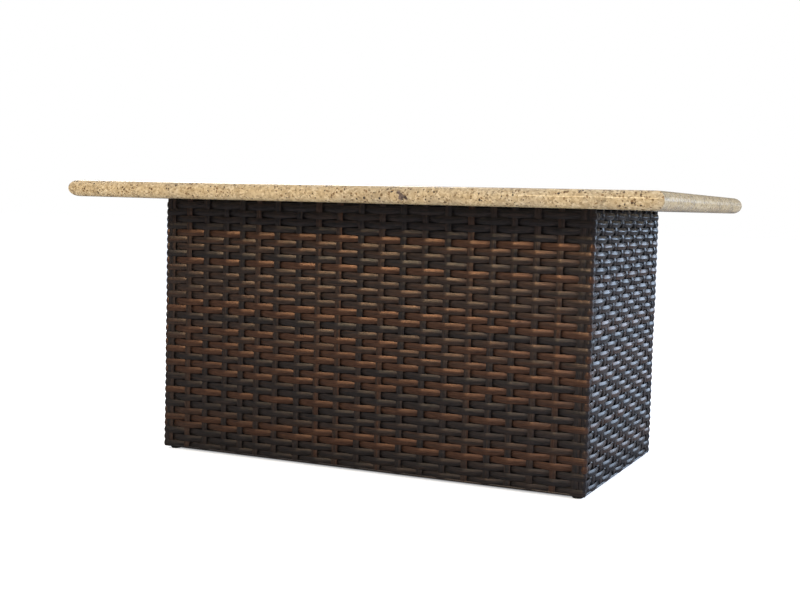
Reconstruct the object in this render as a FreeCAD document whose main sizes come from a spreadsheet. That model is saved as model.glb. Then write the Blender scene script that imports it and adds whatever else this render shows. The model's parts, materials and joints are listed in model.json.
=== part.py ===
import FreeCAD, Part
import math
import os

import Sketcher

# Fire pit table: a stone top on a woven base, with a gas burner in the middle.
# X runs along the table, -Y is the plain front, +Z is up, and the floor is at zero.

Vector = FreeCAD.Vector
DOC = FreeCAD.newDocument("FirePitTable")
PARTS = []

# Sizes in millimetres
SIZES = {
    # Stone top
    "table_height": 605.0,
    "top_length": 1320.0,
    "top_depth": 812.0,
    "top_thickness": 36.0,
    "bumper_thickness": 3.0,
    "bumper_radius": 10.0,
    "bumper_spread": 380.0,
    # Woven base
    "base_length": 994.0,
    "base_depth": 534.0,
    "base_clearance": 5.0,
    "weave_thickness": 8.0,
    "weave_corner_radius": 14.0,
    "weave_corner_flat": 2.0,
    "weave_top_gap": 1.0,
    # Tube frame
    "tube_size": 25.0,
    "tube_wall": 2.0,
    "frame_lift": 1.0,
    "pan_rail_offset": 45.0,
    # Access door in the back
    "door_width": 380.0,
    "door_margin": 15.0,
    "door_gap": 4.0,
    "door_edge_gap": 2.0,
    "door_tube_size": 20.0,
    "door_tube_wall": 1.5,
    # Butt hinges
    "hinge_height": 60.0,
    "hinge_leaf_thickness": 1.5,
    "hinge_barrel_radius": 4.0,
    "hinge_pin_radius": 2.0,
    "hinge_running_gap": 0.05,
    "hinge_knuckle_gap": 0.4,
    "hinge_stand_off": 0.5,
    "hinge_end_distance": 90.0,
    # Door catch and pull
    "catch_base_width": 14.0,
    "catch_depth": 20.0,
    "catch_height": 40.0,
    "catch_gap": 0.4,
    "strike_thickness": 3.0,
    "pull_radius": 15.0,
    "pull_neck_radius": 8.0,
    "pull_neck_length": 10.0,
    "pull_length": 24.0,
    "pull_edge_distance": 30.0,
    "pull_edge_radius": 3.0,
    # Cylinder tray
    "tray_side_gap": 2.0,
    "tray_thickness": 1.5,
    "tray_rest": 12.0,
    "tray_ring_radius": 105.0,
    "tray_ring_wall": 2.0,
    "tray_ring_height": 12.0,
    # Fire pan
    "pan_length": 600.0,
    "pan_width": 260.0,
    "pan_depth": 75.0,
    "pan_sheet": 1.5,
    "pan_lip": 12.0,
    "pan_corner_radius": 6.0,
    "pan_clearance": 2.0,
    "pan_lip_clearance": 1.0,
    # Burner
    "burner_tube_radius": 9.5,
    "burner_tube_wall": 1.5,
    "burner_leg_length": 440.0,
    "burner_leg_spacing": 130.0,
    "burner_lift": 24.0,
    "burner_port_radius": 1.25,
    "burner_port_pitch": 36.0,
    "burner_port_margin": 20.0,
    "hub_radius": 10.6,
    "hub_length": 30.0,
    "hub_hole_gap": 0.4,
    "collar_radius": 18.0,
    "collar_thickness": 4.0,
    "lock_nut_radius": 18.0,
    "lock_nut_thickness": 8.0,
    # Lava rocks
    "rock_depth_below_top": 20.0,
    "rock_gap": 0.5,
    # Air mixer and elbow
    "mixer_radius": 14.5,
    "mixer_length": 65.0,
    "mixer_socket_depth": 15.0,
    "mixer_fit": 0.1,
    "mixer_bore_radius": 6.0,
    "mixer_air_hole_radius": 4.0,
    "mixer_air_hole_height": 14.0,
    "elbow_radius": 8.0,
    "elbow_rise": 15.0,
    "elbow_reach": 25.0,
    "elbow_bore_radius": 3.0,
    # Gas line
    "line_radius": 4.75,
    "line_wall": 1.0,
    "line_bend_radius": 60.0,
    # Control plate and box
    "control_offset": 225.0,
    "plate_length": 150.0,
    "plate_height": 90.0,
    "plate_thickness": 1.5,
    "plate_corner_radius": 6.0,
    "plate_screw_inset": 8.0,
    "skin_hole_gap": 3.0,
    "box_depth": 27.0,
    "box_wall": 1.5,
    "box_boss_size": 14.0,
    "screw_radius": 2.0,
    "screw_clearance": 0.2,
    "screw_length": 14.0,
    "screw_head_radius": 4.0,
    "screw_head_height": 2.5,
    # Gas valve
    "valve_width": 36.0,
    "valve_depth": 34.0,
    "valve_height": 34.0,
    "valve_outlet_radius": 8.0,
    "valve_outlet_length": 10.0,
    "valve_rear_wall": 6.0,
    "valve_running_gap": 0.05,
    "plunger_length": 8.0,
    "push_room": 4.0,
    "stem_radius": 4.0,
    "stem_hole_gap": 2.0,
    "inlet_hex_radius": 12.7,
    "inlet_hex_height": 8.0,
    "inlet_thread_radius": 7.9,
    "inlet_thread_length": 18.0,
    "inlet_bore_radius": 4.0,
    # Control knob
    "knob_offset": 30.0,
    "knob_radius": 23.0,
    "knob_skirt_height": 6.0,
    "knob_grip_width": 11.0,
    "knob_grip_length": 40.0,
    "knob_grip_height": 16.0,
    "knob_gap": 4.0,
    "knob_socket_depth": 14.0,
    "knob_edge_radius": 1.5,
    # Igniter
    "igniter_offset": 38.0,
    "igniter_radius": 11.0,
    "igniter_tail": 40.0,
    "igniter_hole_gap": 0.4,
    "bezel_radius": 14.0,
    "bezel_thickness": 2.0,
    "button_radius": 8.0,
    "button_fit": 0.1,
    "button_shoulder_width": 1.5,
    "button_shoulder_height": 4.0,
    "button_stand_out": 5.5,
    "button_neck_length": 6.5,
    "button_room": 6.0,
    "button_edge_radius": 1.0,
    # Electrode and thermocouple
    "sensor_clearance": 13.5,
    "electrode_offset": 40.0,
    "insulator_radius": 4.0,
    "insulator_collar_radius": 7.0,
    "insulator_collar_height": 3.0,
    "insulator_drop": 24.0,
    "sensor_hole_gap": 0.3,
    "electrode_radius": 1.2,
    "electrode_fit": 0.1,
    "electrode_rise": 10.0,
    "electrode_tail": 8.0,
    "spark_gap": 4.0,
    "probe_offset": 75.0,
    "probe_radius": 3.0,
    "probe_drop": 20.0,
    "probe_collar_radius": 6.0,
    "probe_collar_height": 3.0,
    "probe_port_offset": 8.0,
    "capillary_radius": 1.5,
    "lead_radius": 2.5,
    "lead_turn_radius": 90.0,
    "lead_rise_radius": 36.0,
    # Levelling feet
    "foot_radius": 11.0,
    "foot_gap": 1.5,
    "foot_stud_radius": 4.0,
    "foot_stud_length": 34.0,
    "foot_edge": 1.0,
    "insert_height": 22.0,
    "insert_fit": 0.1,
}


class Size(float):
    """A number together with the sheet expression that it stands for."""

    def __new__(cls, value, text):
        size = super().__new__(cls, value)
        size.text = text
        return size

    def __add__(self, other):
        return Size(float(self) + float(other), joined(self, "+", other))

    def __radd__(self, other):
        return Size(float(other) + float(self), joined(other, "+", self))

    def __sub__(self, other):
        return Size(float(self) - float(other), joined(self, "-", other))

    def __rsub__(self, other):
        return Size(float(other) - float(self), joined(other, "-", self))

    def __mul__(self, other):
        return Size(float(self) * float(other), joined(self, "*", other))

    def __rmul__(self, other):
        return Size(float(other) * float(self), joined(other, "*", self))

    def __truediv__(self, other):
        return Size(float(self) / float(other), joined(self, "/", other))

    def __neg__(self):
        return Size(-float(self), f"(0 - {self.text})")


def text_of(value):
    return value.text if isinstance(value, Size) else f"{float(value):.6f}"


def joined(left, sign, right):
    return f"({text_of(left)} {sign} {text_of(right)})"


def write_sheet():
    """Put every size in the sheet and hand each back with its expression."""
    sheet = DOC.addObject("Spreadsheet::Sheet", "Sizes")
    for row, (name, value) in enumerate(SIZES.items(), start=1):
        sheet.set(f"A{row}", name)
        sheet.set(f"B{row}", str(value))
        sheet.setAlias(f"B{row}", name)
    DOC.recompute()
    return {name: Size(sheet.get(name), f"Sizes.{name}") for name in SIZES}


S = write_sheet()

# Turns that lay a shape's own Z along one of the table's axes
TURNS = {
    "X": FreeCAD.Rotation(Vector(0, 1, 0), 90),
    "Y": FreeCAD.Rotation(Vector(1, 0, 0), -90),
    "Z": FreeCAD.Rotation(),
}


def bind(thing, name, size):
    thing.setExpression(name, text_of(size))


def place(thing, at, along="Z"):
    base = Vector(float(at[0]), float(at[1]), float(at[2]))
    thing.Placement = FreeCAD.Placement(base, TURNS[along])
    for letter, value in zip("xyz", at):
        bind(thing, f"Placement.Base.{letter}", value)


def box(name, size, at):
    thing = DOC.addObject("Part::Box", name)
    for side, value in zip(("Length", "Width", "Height"), size):
        bind(thing, side, value)
    place(thing, at)
    return thing


def centred_box(name, size, centre_xy, bottom):
    """A box around a point of the plan, standing on a height."""
    at = (centre_xy[0] - size[0] / 2, centre_xy[1] - size[1] / 2, bottom)
    return box(name, size, at)


def cylinder(name, radius, length, at, along="Z"):
    thing = DOC.addObject("Part::Cylinder", name)
    bind(thing, "Radius", radius)
    bind(thing, "Height", length)
    place(thing, at, along)
    return thing


def hexagon(name, radius, length, at, along="Z"):
    thing = DOC.addObject("Part::Prism", name)
    thing.Polygon = 6
    bind(thing, "Circumradius", radius)
    bind(thing, "Height", length)
    place(thing, at, along)
    return thing


def fused(name, things):
    thing = DOC.addObject("Part::MultiFuse", name)
    thing.Shapes = things
    thing.Refine = True
    return thing


def cut(name, base, tools):
    tool = tools[0] if len(tools) == 1 else fused(name + "_removed", tools)
    thing = DOC.addObject("Part::Cut", name)
    thing.Base = base
    thing.Tool = tool
    thing.Refine = True
    return thing


def group(name, things):
    thing = DOC.addObject("Part::Compound", name)
    thing.Links = things
    return thing


def piece(label, thing):
    """Name a finished piece and keep it for writing out."""
    thing.Label = label
    PARTS.append(thing)
    return thing


def tube(name, axis, length, at, size, wall):
    """A square tube that starts at a corner and runs along one axis."""
    outer = {"X": (length, size, size), "Y": (size, length, size), "Z": (size, size, length)}[axis]
    core = size - 2 * wall
    inner = {"X": (length, core, core), "Y": (core, length, core), "Z": (core, core, length)}[axis]
    inner_at = [at[i] if "XYZ"[i] == axis else at[i] + wall for i in range(3)]
    shell = box(name + "_outside", outer, at)
    hollow = box(name + "_hollow", inner, inner_at)
    return cut(name + "_tube", shell, [hollow])


# Sketches and bodies

def new_body(name):
    return DOC.addObject("PartDesign::Body", name)


def new_sketch(body, name, plane, offset=0.0):
    sketch = body.newObject("Sketcher::SketchObject", name)
    support = [item for item in body.Origin.OriginFeatures if item.Role == plane][0]
    sketch.AttachmentSupport = [(support, "")]
    sketch.MapMode = "FlatFace"
    bind(sketch, "AttachmentOffset.Base.z", offset)
    return sketch


def limit(sketch, kind, where, size):
    """Add a dimension to a sketch and tie it to the sheet."""
    index = sketch.addConstraint(Sketcher.Constraint(kind, *where, float(size)))
    bind(sketch, f"Constraints[{index}]", size)


def pin_point(sketch, item, point, x, y):
    limit(sketch, "DistanceX", (-1, 1, item, point), x)
    limit(sketch, "DistanceY", (-1, 1, item, point), y)


def draw_polygon(sketch, corners):
    """A closed outline through the corners, each held from the origin."""
    spots = [Vector(float(x), float(y), 0) for x, y in corners]
    count = len(spots)
    for index in range(count):
        sketch.addGeometry(Part.LineSegment(spots[index], spots[(index + 1) % count]))
    for index in range(count):
        follower = (index + 1) % count
        sketch.addConstraint(Sketcher.Constraint("Coincident", index, 2, follower, 1))
    for index, (x, y) in enumerate(corners):
        pin_point(sketch, index, 1, x, y)


def draw_circle(sketch, radius, x=0.0, y=0.0):
    circle = Part.Circle(Vector(float(x), float(y), 0), Vector(0, 0, 1), float(radius))
    index = sketch.addGeometry(circle)
    limit(sketch, "Radius", (index,), radius)
    pin_point(sketch, index, 3, x, y)


def draw_arc(sketch, x, y, radius, start, end):
    circle = Part.Circle(Vector(float(x), float(y), 0), Vector(0, 0, 1), float(radius))
    index = sketch.addGeometry(Part.ArcOfCircle(circle, math.radians(start), math.radians(end)))
    limit(sketch, "Radius", (index,), radius)
    pin_point(sketch, index, 3, x, y)
    return index


def draw_line(sketch, start, end):
    first = Vector(float(start[0]), float(start[1]), 0)
    second = Vector(float(end[0]), float(end[1]), 0)
    return sketch.addGeometry(Part.LineSegment(first, second))


def join_smoothly(sketch, items):
    for index, item in enumerate(items):
        follower = items[(index + 1) % len(items)]
        sketch.addConstraint(Sketcher.Constraint("Tangent", item, 2, follower, 1))


def draw_round_ended_bar(sketch, length, height):
    """A bar of one height with half-round ends, centred on the origin."""
    radius = height / 2
    reach = length / 2 - radius
    lower = draw_line(sketch, (-reach, -radius), (reach, -radius))
    right = draw_arc(sketch, reach, 0.0, radius, -90, 90)
    upper = draw_line(sketch, (reach, radius), (-reach, radius))
    left = draw_arc(sketch, -reach, 0.0, radius, 90, 270)
    join_smoothly(sketch, (lower, right, upper, left))


def draw_rounded_rectangle(sketch, length, width, radius):
    """A rectangle with round corners, centred on the origin."""
    x = length / 2 - radius
    y = width / 2 - radius
    items = []
    items.append(draw_line(sketch, (-x, -y - radius), (x, -y - radius)))
    items.append(draw_arc(sketch, x, -y, radius, -90, 0))
    items.append(draw_line(sketch, (x + radius, -y), (x + radius, y)))
    items.append(draw_arc(sketch, x, y, radius, 0, 90))
    items.append(draw_line(sketch, (x, y + radius), (-x, y + radius)))
    items.append(draw_arc(sketch, -x, y, radius, 90, 180))
    items.append(draw_line(sketch, (-x - radius, y), (-x - radius, -y)))
    items.append(draw_arc(sketch, -x, -y, radius, 180, 270))
    join_smoothly(sketch, items)


def pad(body, sketch, length, downward=False, both_ways=False):
    feature = body.newObject("PartDesign::Pad", sketch.Name + "_pad")
    feature.Profile = sketch
    feature.Reversed = downward
    if both_ways:
        feature.SideType = "Symmetric"
    bind(feature, "Length", length)
    return feature


def pocket(body, sketch, depth):
    """Cut down from the sketch, against its own Z."""
    feature = body.newObject("PartDesign::Pocket", sketch.Name + "_pocket")
    feature.Profile = sketch
    bind(feature, "Length", depth)
    return feature


def revolve(body, sketch):
    """Turn a sketch on the XZ plane about the body's own Z."""
    feature = body.newObject("PartDesign::Revolution", sketch.Name + "_turned")
    feature.Profile = sketch
    feature.ReferenceAxis = (sketch, ["V_Axis"])
    feature.Angle = 360
    return feature


def round_edges(body, feature, radius, chosen):
    """Round the edges of a feature that a test picks out."""
    DOC.recompute()
    names = []
    for index, edge in enumerate(feature.Shape.Edges, start=1):
        if chosen(edge):
            names.append(f"Edge{index}")
    rounding = body.newObject("PartDesign::Fillet", feature.Name + "_round")
    rounding.Base = (feature, names)
    bind(rounding, "Radius", radius)
    return rounding


def upright_edge_at(x, y):
    """A test for an upright edge that stands over one point of the plan."""
    spot = Vector(float(x), float(y), 0)

    def test(edge):
        ends = [Vector(v.Point.x, v.Point.y, 0) for v in edge.Vertexes]
        return len(ends) == 2 and all(end.distanceToPoint(spot) < 0.01 for end in ends)

    return test


def round_edge_of(radius):
    """A test for a full circle of one radius."""
    return lambda edge: edge.Closed and abs(edge.BoundBox.XLength / 2 - float(radius)) < 0.01


def turned_body(name, outline):
    """A body turned from an outline of radius and height pairs."""
    body = new_body(name)
    sketch = new_sketch(body, name + "_outline", "XZ_Plane")
    draw_polygon(sketch, outline)
    revolve(body, sketch)
    return body


def plate_body(name, length, width, radius, thickness):
    """A flat plate with round corners, lying on its own XY plane."""
    body = new_body(name)
    sketch = new_sketch(body, name + "_outline", "XY_Plane")
    draw_rounded_rectangle(sketch, length, width, radius)
    pad(body, sketch, thickness)
    return body


def rounded_path(points, radii):
    """A path through the points with a tangent arc of its own radius at every bend."""
    edges = []
    start = points[0]
    for before, corner, after, radius in zip(points, points[1:], points[2:], radii):
        inward = (before - corner).normalize()
        outward = (after - corner).normalize()
        first = corner + inward * radius
        last = corner + outward * radius
        centre = corner + (inward + outward) * radius
        middle = centre + (corner - centre).normalize() * radius
        edges.append(Part.makeLine(start, first))
        edges.append(Part.Arc(first, middle, last).toShape())
        start = last
    edges.append(Part.makeLine(start, points[-1]))
    return Part.Wire(edges)


def swept_line(name, radius, points):
    """A round line that turns once in the plan and then rises, placed at its first point."""
    local = [point - points[0] for point in points]
    path = rounded_path(local, (float(S["lead_turn_radius"]), float(S["lead_rise_radius"])))
    section = Part.Wire(Part.makeCircle(float(radius), local[0], local[1] - local[0]))
    thing = DOC.addObject("Part::Feature", name)
    thing.Shape = path.makePipeShell([section], True, True)
    thing.Placement = FreeCAD.Placement(points[0], FreeCAD.Rotation())
    return thing


# Heights and faces that several pieces share
TOP_UNDERSIDE = S["table_height"] - S["top_thickness"]
FRAME_TOP = TOP_UNDERSIDE - S["bumper_thickness"]
WEAVE_BOTTOM = S["base_clearance"]
WEAVE_TOP = TOP_UNDERSIDE - S["weave_top_gap"]
FRAME_BOTTOM = WEAVE_BOTTOM + S["frame_lift"]
LOWER_RAIL_TOP = FRAME_BOTTOM + S["tube_size"]
UPPER_RAIL_BOTTOM = FRAME_TOP - S["tube_size"]
WEAVE_X = S["base_length"] / 2
WEAVE_Y = S["base_depth"] / 2
FRAME_X = WEAVE_X - S["weave_thickness"]
FRAME_Y = WEAVE_Y - S["weave_thickness"]
INSIDE_X = FRAME_X - S["tube_size"]
INSIDE_Y = FRAME_Y - S["tube_size"]
CORNER_REACH = S["weave_corner_radius"] + S["weave_corner_flat"]
HINGE_JAMB_FACE = S["door_margin"] + S["tube_size"] - INSIDE_X
DOOR_HINGE_EDGE = HINGE_JAMB_FACE + S["door_gap"]
DOOR_LATCH_EDGE = DOOR_HINGE_EDGE + S["door_width"]
DOOR_MIDDLE = (DOOR_HINGE_EDGE + DOOR_LATCH_EDGE) / 2
LATCH_JAMB_FACE = DOOR_LATCH_EDGE + S["door_gap"]
PAN_BOTTOM = S["table_height"] - S["pan_depth"]
PAN_FLOOR = PAN_BOTTOM + S["pan_sheet"]
BURNER_HEIGHT = PAN_FLOOR + S["burner_lift"]
BURNER_LEG_Y = S["burner_leg_spacing"] / 2
SENSOR_Y = BURNER_LEG_Y - S["burner_tube_radius"] - S["sensor_clearance"]
ELECTRODE_HEIGHT = BURNER_HEIGHT + S["electrode_rise"]
HUB_BOTTOM = PAN_BOTTOM - S["hub_length"]
MIXER_TOP = HUB_BOTTOM + S["mixer_socket_depth"]
MIXER_BOTTOM = MIXER_TOP - S["mixer_length"]
GAS_HEIGHT = MIXER_BOTTOM - S["elbow_rise"]
PLATE_FACE = WEAVE_Y + S["plate_thickness"]
BOX_BACK = FRAME_Y - S["box_depth"]
VALVE_X = S["control_offset"] - S["knob_offset"]
VALVE_REAR = BOX_BACK - S["valve_depth"]
VALVE_MIDDLE = BOX_BACK - S["valve_depth"] / 2
PLUNGER_START = VALVE_REAR + S["valve_rear_wall"] + S["push_room"]
STEM_END = PLUNGER_START + S["plunger_length"]
KNOB_FACE = PLATE_FACE + S["knob_gap"]
IGNITER_X = S["control_offset"] + S["igniter_offset"]
IGNITER_TAIL = BOX_BACK - S["igniter_tail"]
BEZEL_FACE = PLATE_FACE + S["bezel_thickness"]


def make_top():
    """The stone slab: a full round edge all round, and a stepped opening for the pan."""
    middle = TOP_UNDERSIDE + S["top_thickness"] / 2
    across = new_body("top_across")
    sketch = new_sketch(across, "top_across_outline", "YZ_Plane")
    draw_round_ended_bar(sketch, S["top_depth"], S["top_thickness"])
    pad(across, sketch, S["top_length"], both_ways=True)
    place(across, (0.0, 0.0, middle))
    along = new_body("top_along")
    sketch = new_sketch(along, "top_along_outline", "XZ_Plane")
    draw_round_ended_bar(sketch, S["top_length"], S["top_thickness"])
    pad(along, sketch, S["top_depth"], both_ways=True)
    place(along, (0.0, 0.0, middle))
    slab = DOC.addObject("Part::Common", "top_slab")
    slab.Base = across
    slab.Tool = along
    slab.Refine = True

    gap = 2 * S["pan_clearance"]
    opening = plate_body("top_opening", S["pan_length"] + gap, S["pan_width"] + gap,
                         S["pan_corner_radius"] + S["pan_clearance"], S["top_thickness"])
    place(opening, (0.0, 0.0, TOP_UNDERSIDE))
    lip_gap = 2 * S["pan_lip"] + 2 * S["pan_lip_clearance"]
    rebate = plate_body("top_rebate", S["pan_length"] + lip_gap, S["pan_width"] + lip_gap,
                        S["pan_corner_radius"] + S["pan_lip"] + S["pan_lip_clearance"], S["pan_sheet"])
    place(rebate, (0.0, 0.0, S["table_height"] - S["pan_sheet"]))
    piece("granite_top", cut("top_finished", slab, [opening, rebate]))


def make_bumpers():
    """Rubber bumpers between the frame and the stone."""
    rail_y = FRAME_Y - S["tube_size"] / 2
    rail_x = FRAME_X - S["tube_size"] / 2
    spots = [(x, y) for y in (-rail_y, rail_y) for x in (-S["bumper_spread"], 0.0, S["bumper_spread"])]
    spots += [(-rail_x, 0.0), (rail_x, 0.0)]
    bumpers = []
    for index, (x, y) in enumerate(spots):
        bumpers.append(cylinder(f"bumper_{index}", S["bumper_radius"], S["bumper_thickness"],
                                (x, y, FRAME_TOP)))
    piece("top_bumpers", group("bumpers", bumpers))


def make_frame():
    """Posts, rails, the two rails beside the pan and the two door jambs."""
    size = S["tube_size"]
    wall = S["tube_wall"]
    corners = {"front_left": (-FRAME_X, -FRAME_Y), "front_right": (INSIDE_X, -FRAME_Y),
               "back_left": (-FRAME_X, INSIDE_Y), "back_right": (INSIDE_X, INSIDE_Y)}
    for name, (x, y) in corners.items():
        label = f"frame_post_{name}"
        piece(label, tube(label, "Z", FRAME_TOP - FRAME_BOTTOM, (x, y, FRAME_BOTTOM), size, wall))
    for level, z in (("top", UPPER_RAIL_BOTTOM), ("bottom", FRAME_BOTTOM)):
        for side, y in (("front", -FRAME_Y), ("back", INSIDE_Y)):
            label = f"frame_{level}_rail_{side}"
            piece(label, tube(label, "X", 2 * INSIDE_X, (-INSIDE_X, y, z), size, wall))
        for side, x in (("left", -FRAME_X), ("right", INSIDE_X)):
            label = f"frame_{level}_rail_{side}"
            piece(label, tube(label, "Y", 2 * INSIDE_Y, (x, -INSIDE_Y, z), size, wall))
    pan_rail_x = S["pan_length"] / 2 + S["pan_rail_offset"]
    pan_rails = []
    for side, x in (("left", -pan_rail_x), ("right", pan_rail_x)):
        at = (x - size / 2, -INSIDE_Y, UPPER_RAIL_BOTTOM)
        pan_rails.append(tube(f"pan_rail_{side}", "Y", 2 * INSIDE_Y, at, size, wall))
    piece("pan_rails", group("pan_rail_pair", pan_rails))
    jamb_length = UPPER_RAIL_BOTTOM - LOWER_RAIL_TOP
    jambs = []
    for side, x in (("hinge", HINGE_JAMB_FACE - size), ("latch", LATCH_JAMB_FACE)):
        jambs.append(tube(f"door_jamb_{side}", "Z", jamb_length, (x, INSIDE_Y, LOWER_RAIL_TOP), size, wall))
    piece("door_jambs", group("door_jamb_pair", jambs))


def woven_panel(name, corners, round_at, bottom, height):
    """An upright woven skin: a plan outline raised to its height, outer corners rounded."""
    body = new_body(name)
    sketch = new_sketch(body, name + "_plan", "XY_Plane")
    draw_polygon(sketch, corners)
    feature = pad(body, sketch, height)
    for x, y in round_at:
        feature = round_edges(body, feature, S["weave_corner_radius"], upright_edge_at(x, y))
    place(body, (0.0, 0.0, bottom))
    return body


def make_weave():
    """The woven skins; the front and back ones turn the corners of the base."""
    height = WEAVE_TOP - WEAVE_BOTTOM
    turn_y = WEAVE_Y - CORNER_REACH
    front = [(-WEAVE_X, -WEAVE_Y), (WEAVE_X, -WEAVE_Y), (WEAVE_X, -turn_y), (FRAME_X, -turn_y),
             (FRAME_X, -FRAME_Y), (-FRAME_X, -FRAME_Y), (-FRAME_X, -turn_y), (-WEAVE_X, -turn_y)]
    round_at = ((-WEAVE_X, -WEAVE_Y), (WEAVE_X, -WEAVE_Y))
    piece("weave_front", woven_panel("front_skin", front, round_at, WEAVE_BOTTOM, height))
    ends = (("weave_right_end", FRAME_X), ("weave_left_end", -WEAVE_X))
    for label, x in ends:
        skin = box(label + "_skin", (S["weave_thickness"], 2 * turn_y, height), (x, -turn_y, WEAVE_BOTTOM))
        piece(label, skin)
    hinge_side = [(HINGE_JAMB_FACE, WEAVE_Y), (-WEAVE_X, WEAVE_Y), (-WEAVE_X, turn_y), (-FRAME_X, turn_y),
                  (-FRAME_X, FRAME_Y), (HINGE_JAMB_FACE, FRAME_Y)]
    piece("weave_back_hinge_side",
          woven_panel("hinge_side_skin", hinge_side, ((-WEAVE_X, WEAVE_Y),), WEAVE_BOTTOM, height))
    control_side = [(LATCH_JAMB_FACE, FRAME_Y), (FRAME_X, FRAME_Y), (FRAME_X, turn_y), (WEAVE_X, turn_y),
                    (WEAVE_X, WEAVE_Y), (LATCH_JAMB_FACE, WEAVE_Y)]
    skin = woven_panel("control_side_skin", control_side, ((WEAVE_X, WEAVE_Y),), WEAVE_BOTTOM, height)
    stem_hole = cylinder("skin_stem_hole", S["stem_radius"] + S["skin_hole_gap"], S["weave_thickness"],
                         (VALVE_X, FRAME_Y, GAS_HEIGHT), "Y")
    igniter_hole = cylinder("skin_igniter_hole", S["igniter_radius"] + S["skin_hole_gap"],
                            S["weave_thickness"], (IGNITER_X, FRAME_Y, GAS_HEIGHT), "Y")
    holes = screw_holes("skin", S["weave_thickness"], FRAME_Y)
    piece("weave_back_control_side", cut("control_side_finished", skin, [stem_hole, igniter_hole] + holes))


def screw_spots():
    """Where the four screws of the control plate go, as X and Z."""
    x = S["plate_length"] / 2 - S["plate_screw_inset"]
    z = S["plate_height"] / 2 - S["plate_screw_inset"]
    centre = S["control_offset"]
    return [(centre - x, GAS_HEIGHT - z), (centre + x, GAS_HEIGHT - z),
            (centre - x, GAS_HEIGHT + z), (centre + x, GAS_HEIGHT + z)]


def screw_holes(name, depth, start_y):
    radius = S["screw_radius"] + S["screw_clearance"]
    holes = []
    for index, (x, z) in enumerate(screw_spots()):
        holes.append(cylinder(f"{name}_screw_hole_{index}", radius, depth, (x, start_y, z), "Y"))
    return holes


def make_door():
    """The access door: a tube frame with its own woven skin, a pull and a strike."""
    size = S["door_tube_size"]
    wall = S["door_tube_wall"]
    bottom = LOWER_RAIL_TOP + S["door_gap"]
    top = UPPER_RAIL_BOTTOM - S["door_gap"]
    inner_y = FRAME_Y - size
    for side, x in (("hinge", DOOR_HINGE_EDGE), ("latch", DOOR_LATCH_EDGE - size)):
        label = f"door_stile_{side}_side"
        piece(label, tube(label, "Z", top - bottom, (x, inner_y, bottom), size, wall))
    rail_length = S["door_width"] - 2 * size
    for level, z in (("top", top - size), ("bottom", bottom)):
        label = f"door_rail_{level}"
        piece(label, tube(label, "X", rail_length, (DOOR_HINGE_EDGE + size, inner_y, z), size, wall))
    skin_bottom = WEAVE_BOTTOM + S["door_edge_gap"]
    skin_height = WEAVE_TOP - S["door_edge_gap"] - skin_bottom
    skin = box("door_skin", (S["door_width"], S["weave_thickness"], skin_height),
               (DOOR_HINGE_EDGE, FRAME_Y, skin_bottom))
    piece("weave_door", skin)

    pull_x = DOOR_LATCH_EDGE - S["pull_edge_distance"]
    middle = (bottom + top) / 2
    outline = [(0.0, 0.0), (S["pull_neck_radius"], 0.0), (S["pull_neck_radius"], S["pull_neck_length"]),
               (S["pull_radius"], S["pull_neck_length"]), (S["pull_radius"], S["pull_length"]),
               (0.0, S["pull_length"])]
    pull = turned_body("pull_knob", outline)
    round_edges(pull, pull.Tip, S["pull_edge_radius"], round_edge_of(S["pull_radius"]))
    place(pull, (pull_x, WEAVE_Y, middle), "Y")
    piece("door_pull", pull)

    catch_bottom = middle - S["catch_height"] / 2
    strike_face = inner_y - S["strike_thickness"]
    strike = box("strike_block", (size, S["strike_thickness"], S["catch_height"]),
                 (DOOR_LATCH_EDGE - size, strike_face, catch_bottom))
    piece("catch_strike", strike)
    magnet_rear = INSIDE_Y - S["catch_depth"]
    base = box("magnet_base", (S["catch_base_width"], S["catch_depth"], S["catch_height"]),
               (LATCH_JAMB_FACE, magnet_rear, catch_bottom))
    head_depth = strike_face - S["catch_gap"] - magnet_rear
    head = box("magnet_head", (size + S["door_gap"], head_depth, S["catch_height"]),
               (DOOR_LATCH_EDGE - size, magnet_rear, catch_bottom))
    piece("catch_magnet", fused("magnet", [base, head]))
    make_hinges(bottom + S["hinge_end_distance"], top - S["hinge_end_distance"])


HINGE_X = DOOR_HINGE_EDGE - S["door_gap"] / 2
HINGE_Y = WEAVE_Y + S["hinge_stand_off"] + S["hinge_barrel_radius"]


def knuckle(name, bottom, height, bore_radius, leaf_x, leaf_bottom, leaf_height):
    """One barrel knuckle with the strip of its leaf."""
    barrel = cylinder(name + "_barrel", S["hinge_barrel_radius"], height, (HINGE_X, HINGE_Y, bottom))
    inner_y = FRAME_Y - S["door_tube_size"]
    strip = box(name + "_strip", (S["hinge_leaf_thickness"], HINGE_Y - inner_y, height),
                (leaf_x, inner_y, bottom))
    plate = box(name + "_plate", (S["hinge_leaf_thickness"], WEAVE_Y - inner_y, leaf_height),
                (leaf_x, inner_y, leaf_bottom))
    bore = cylinder(name + "_bore", bore_radius, height, (HINGE_X, HINGE_Y, bottom))
    return barrel, strip, plate, bore


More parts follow.
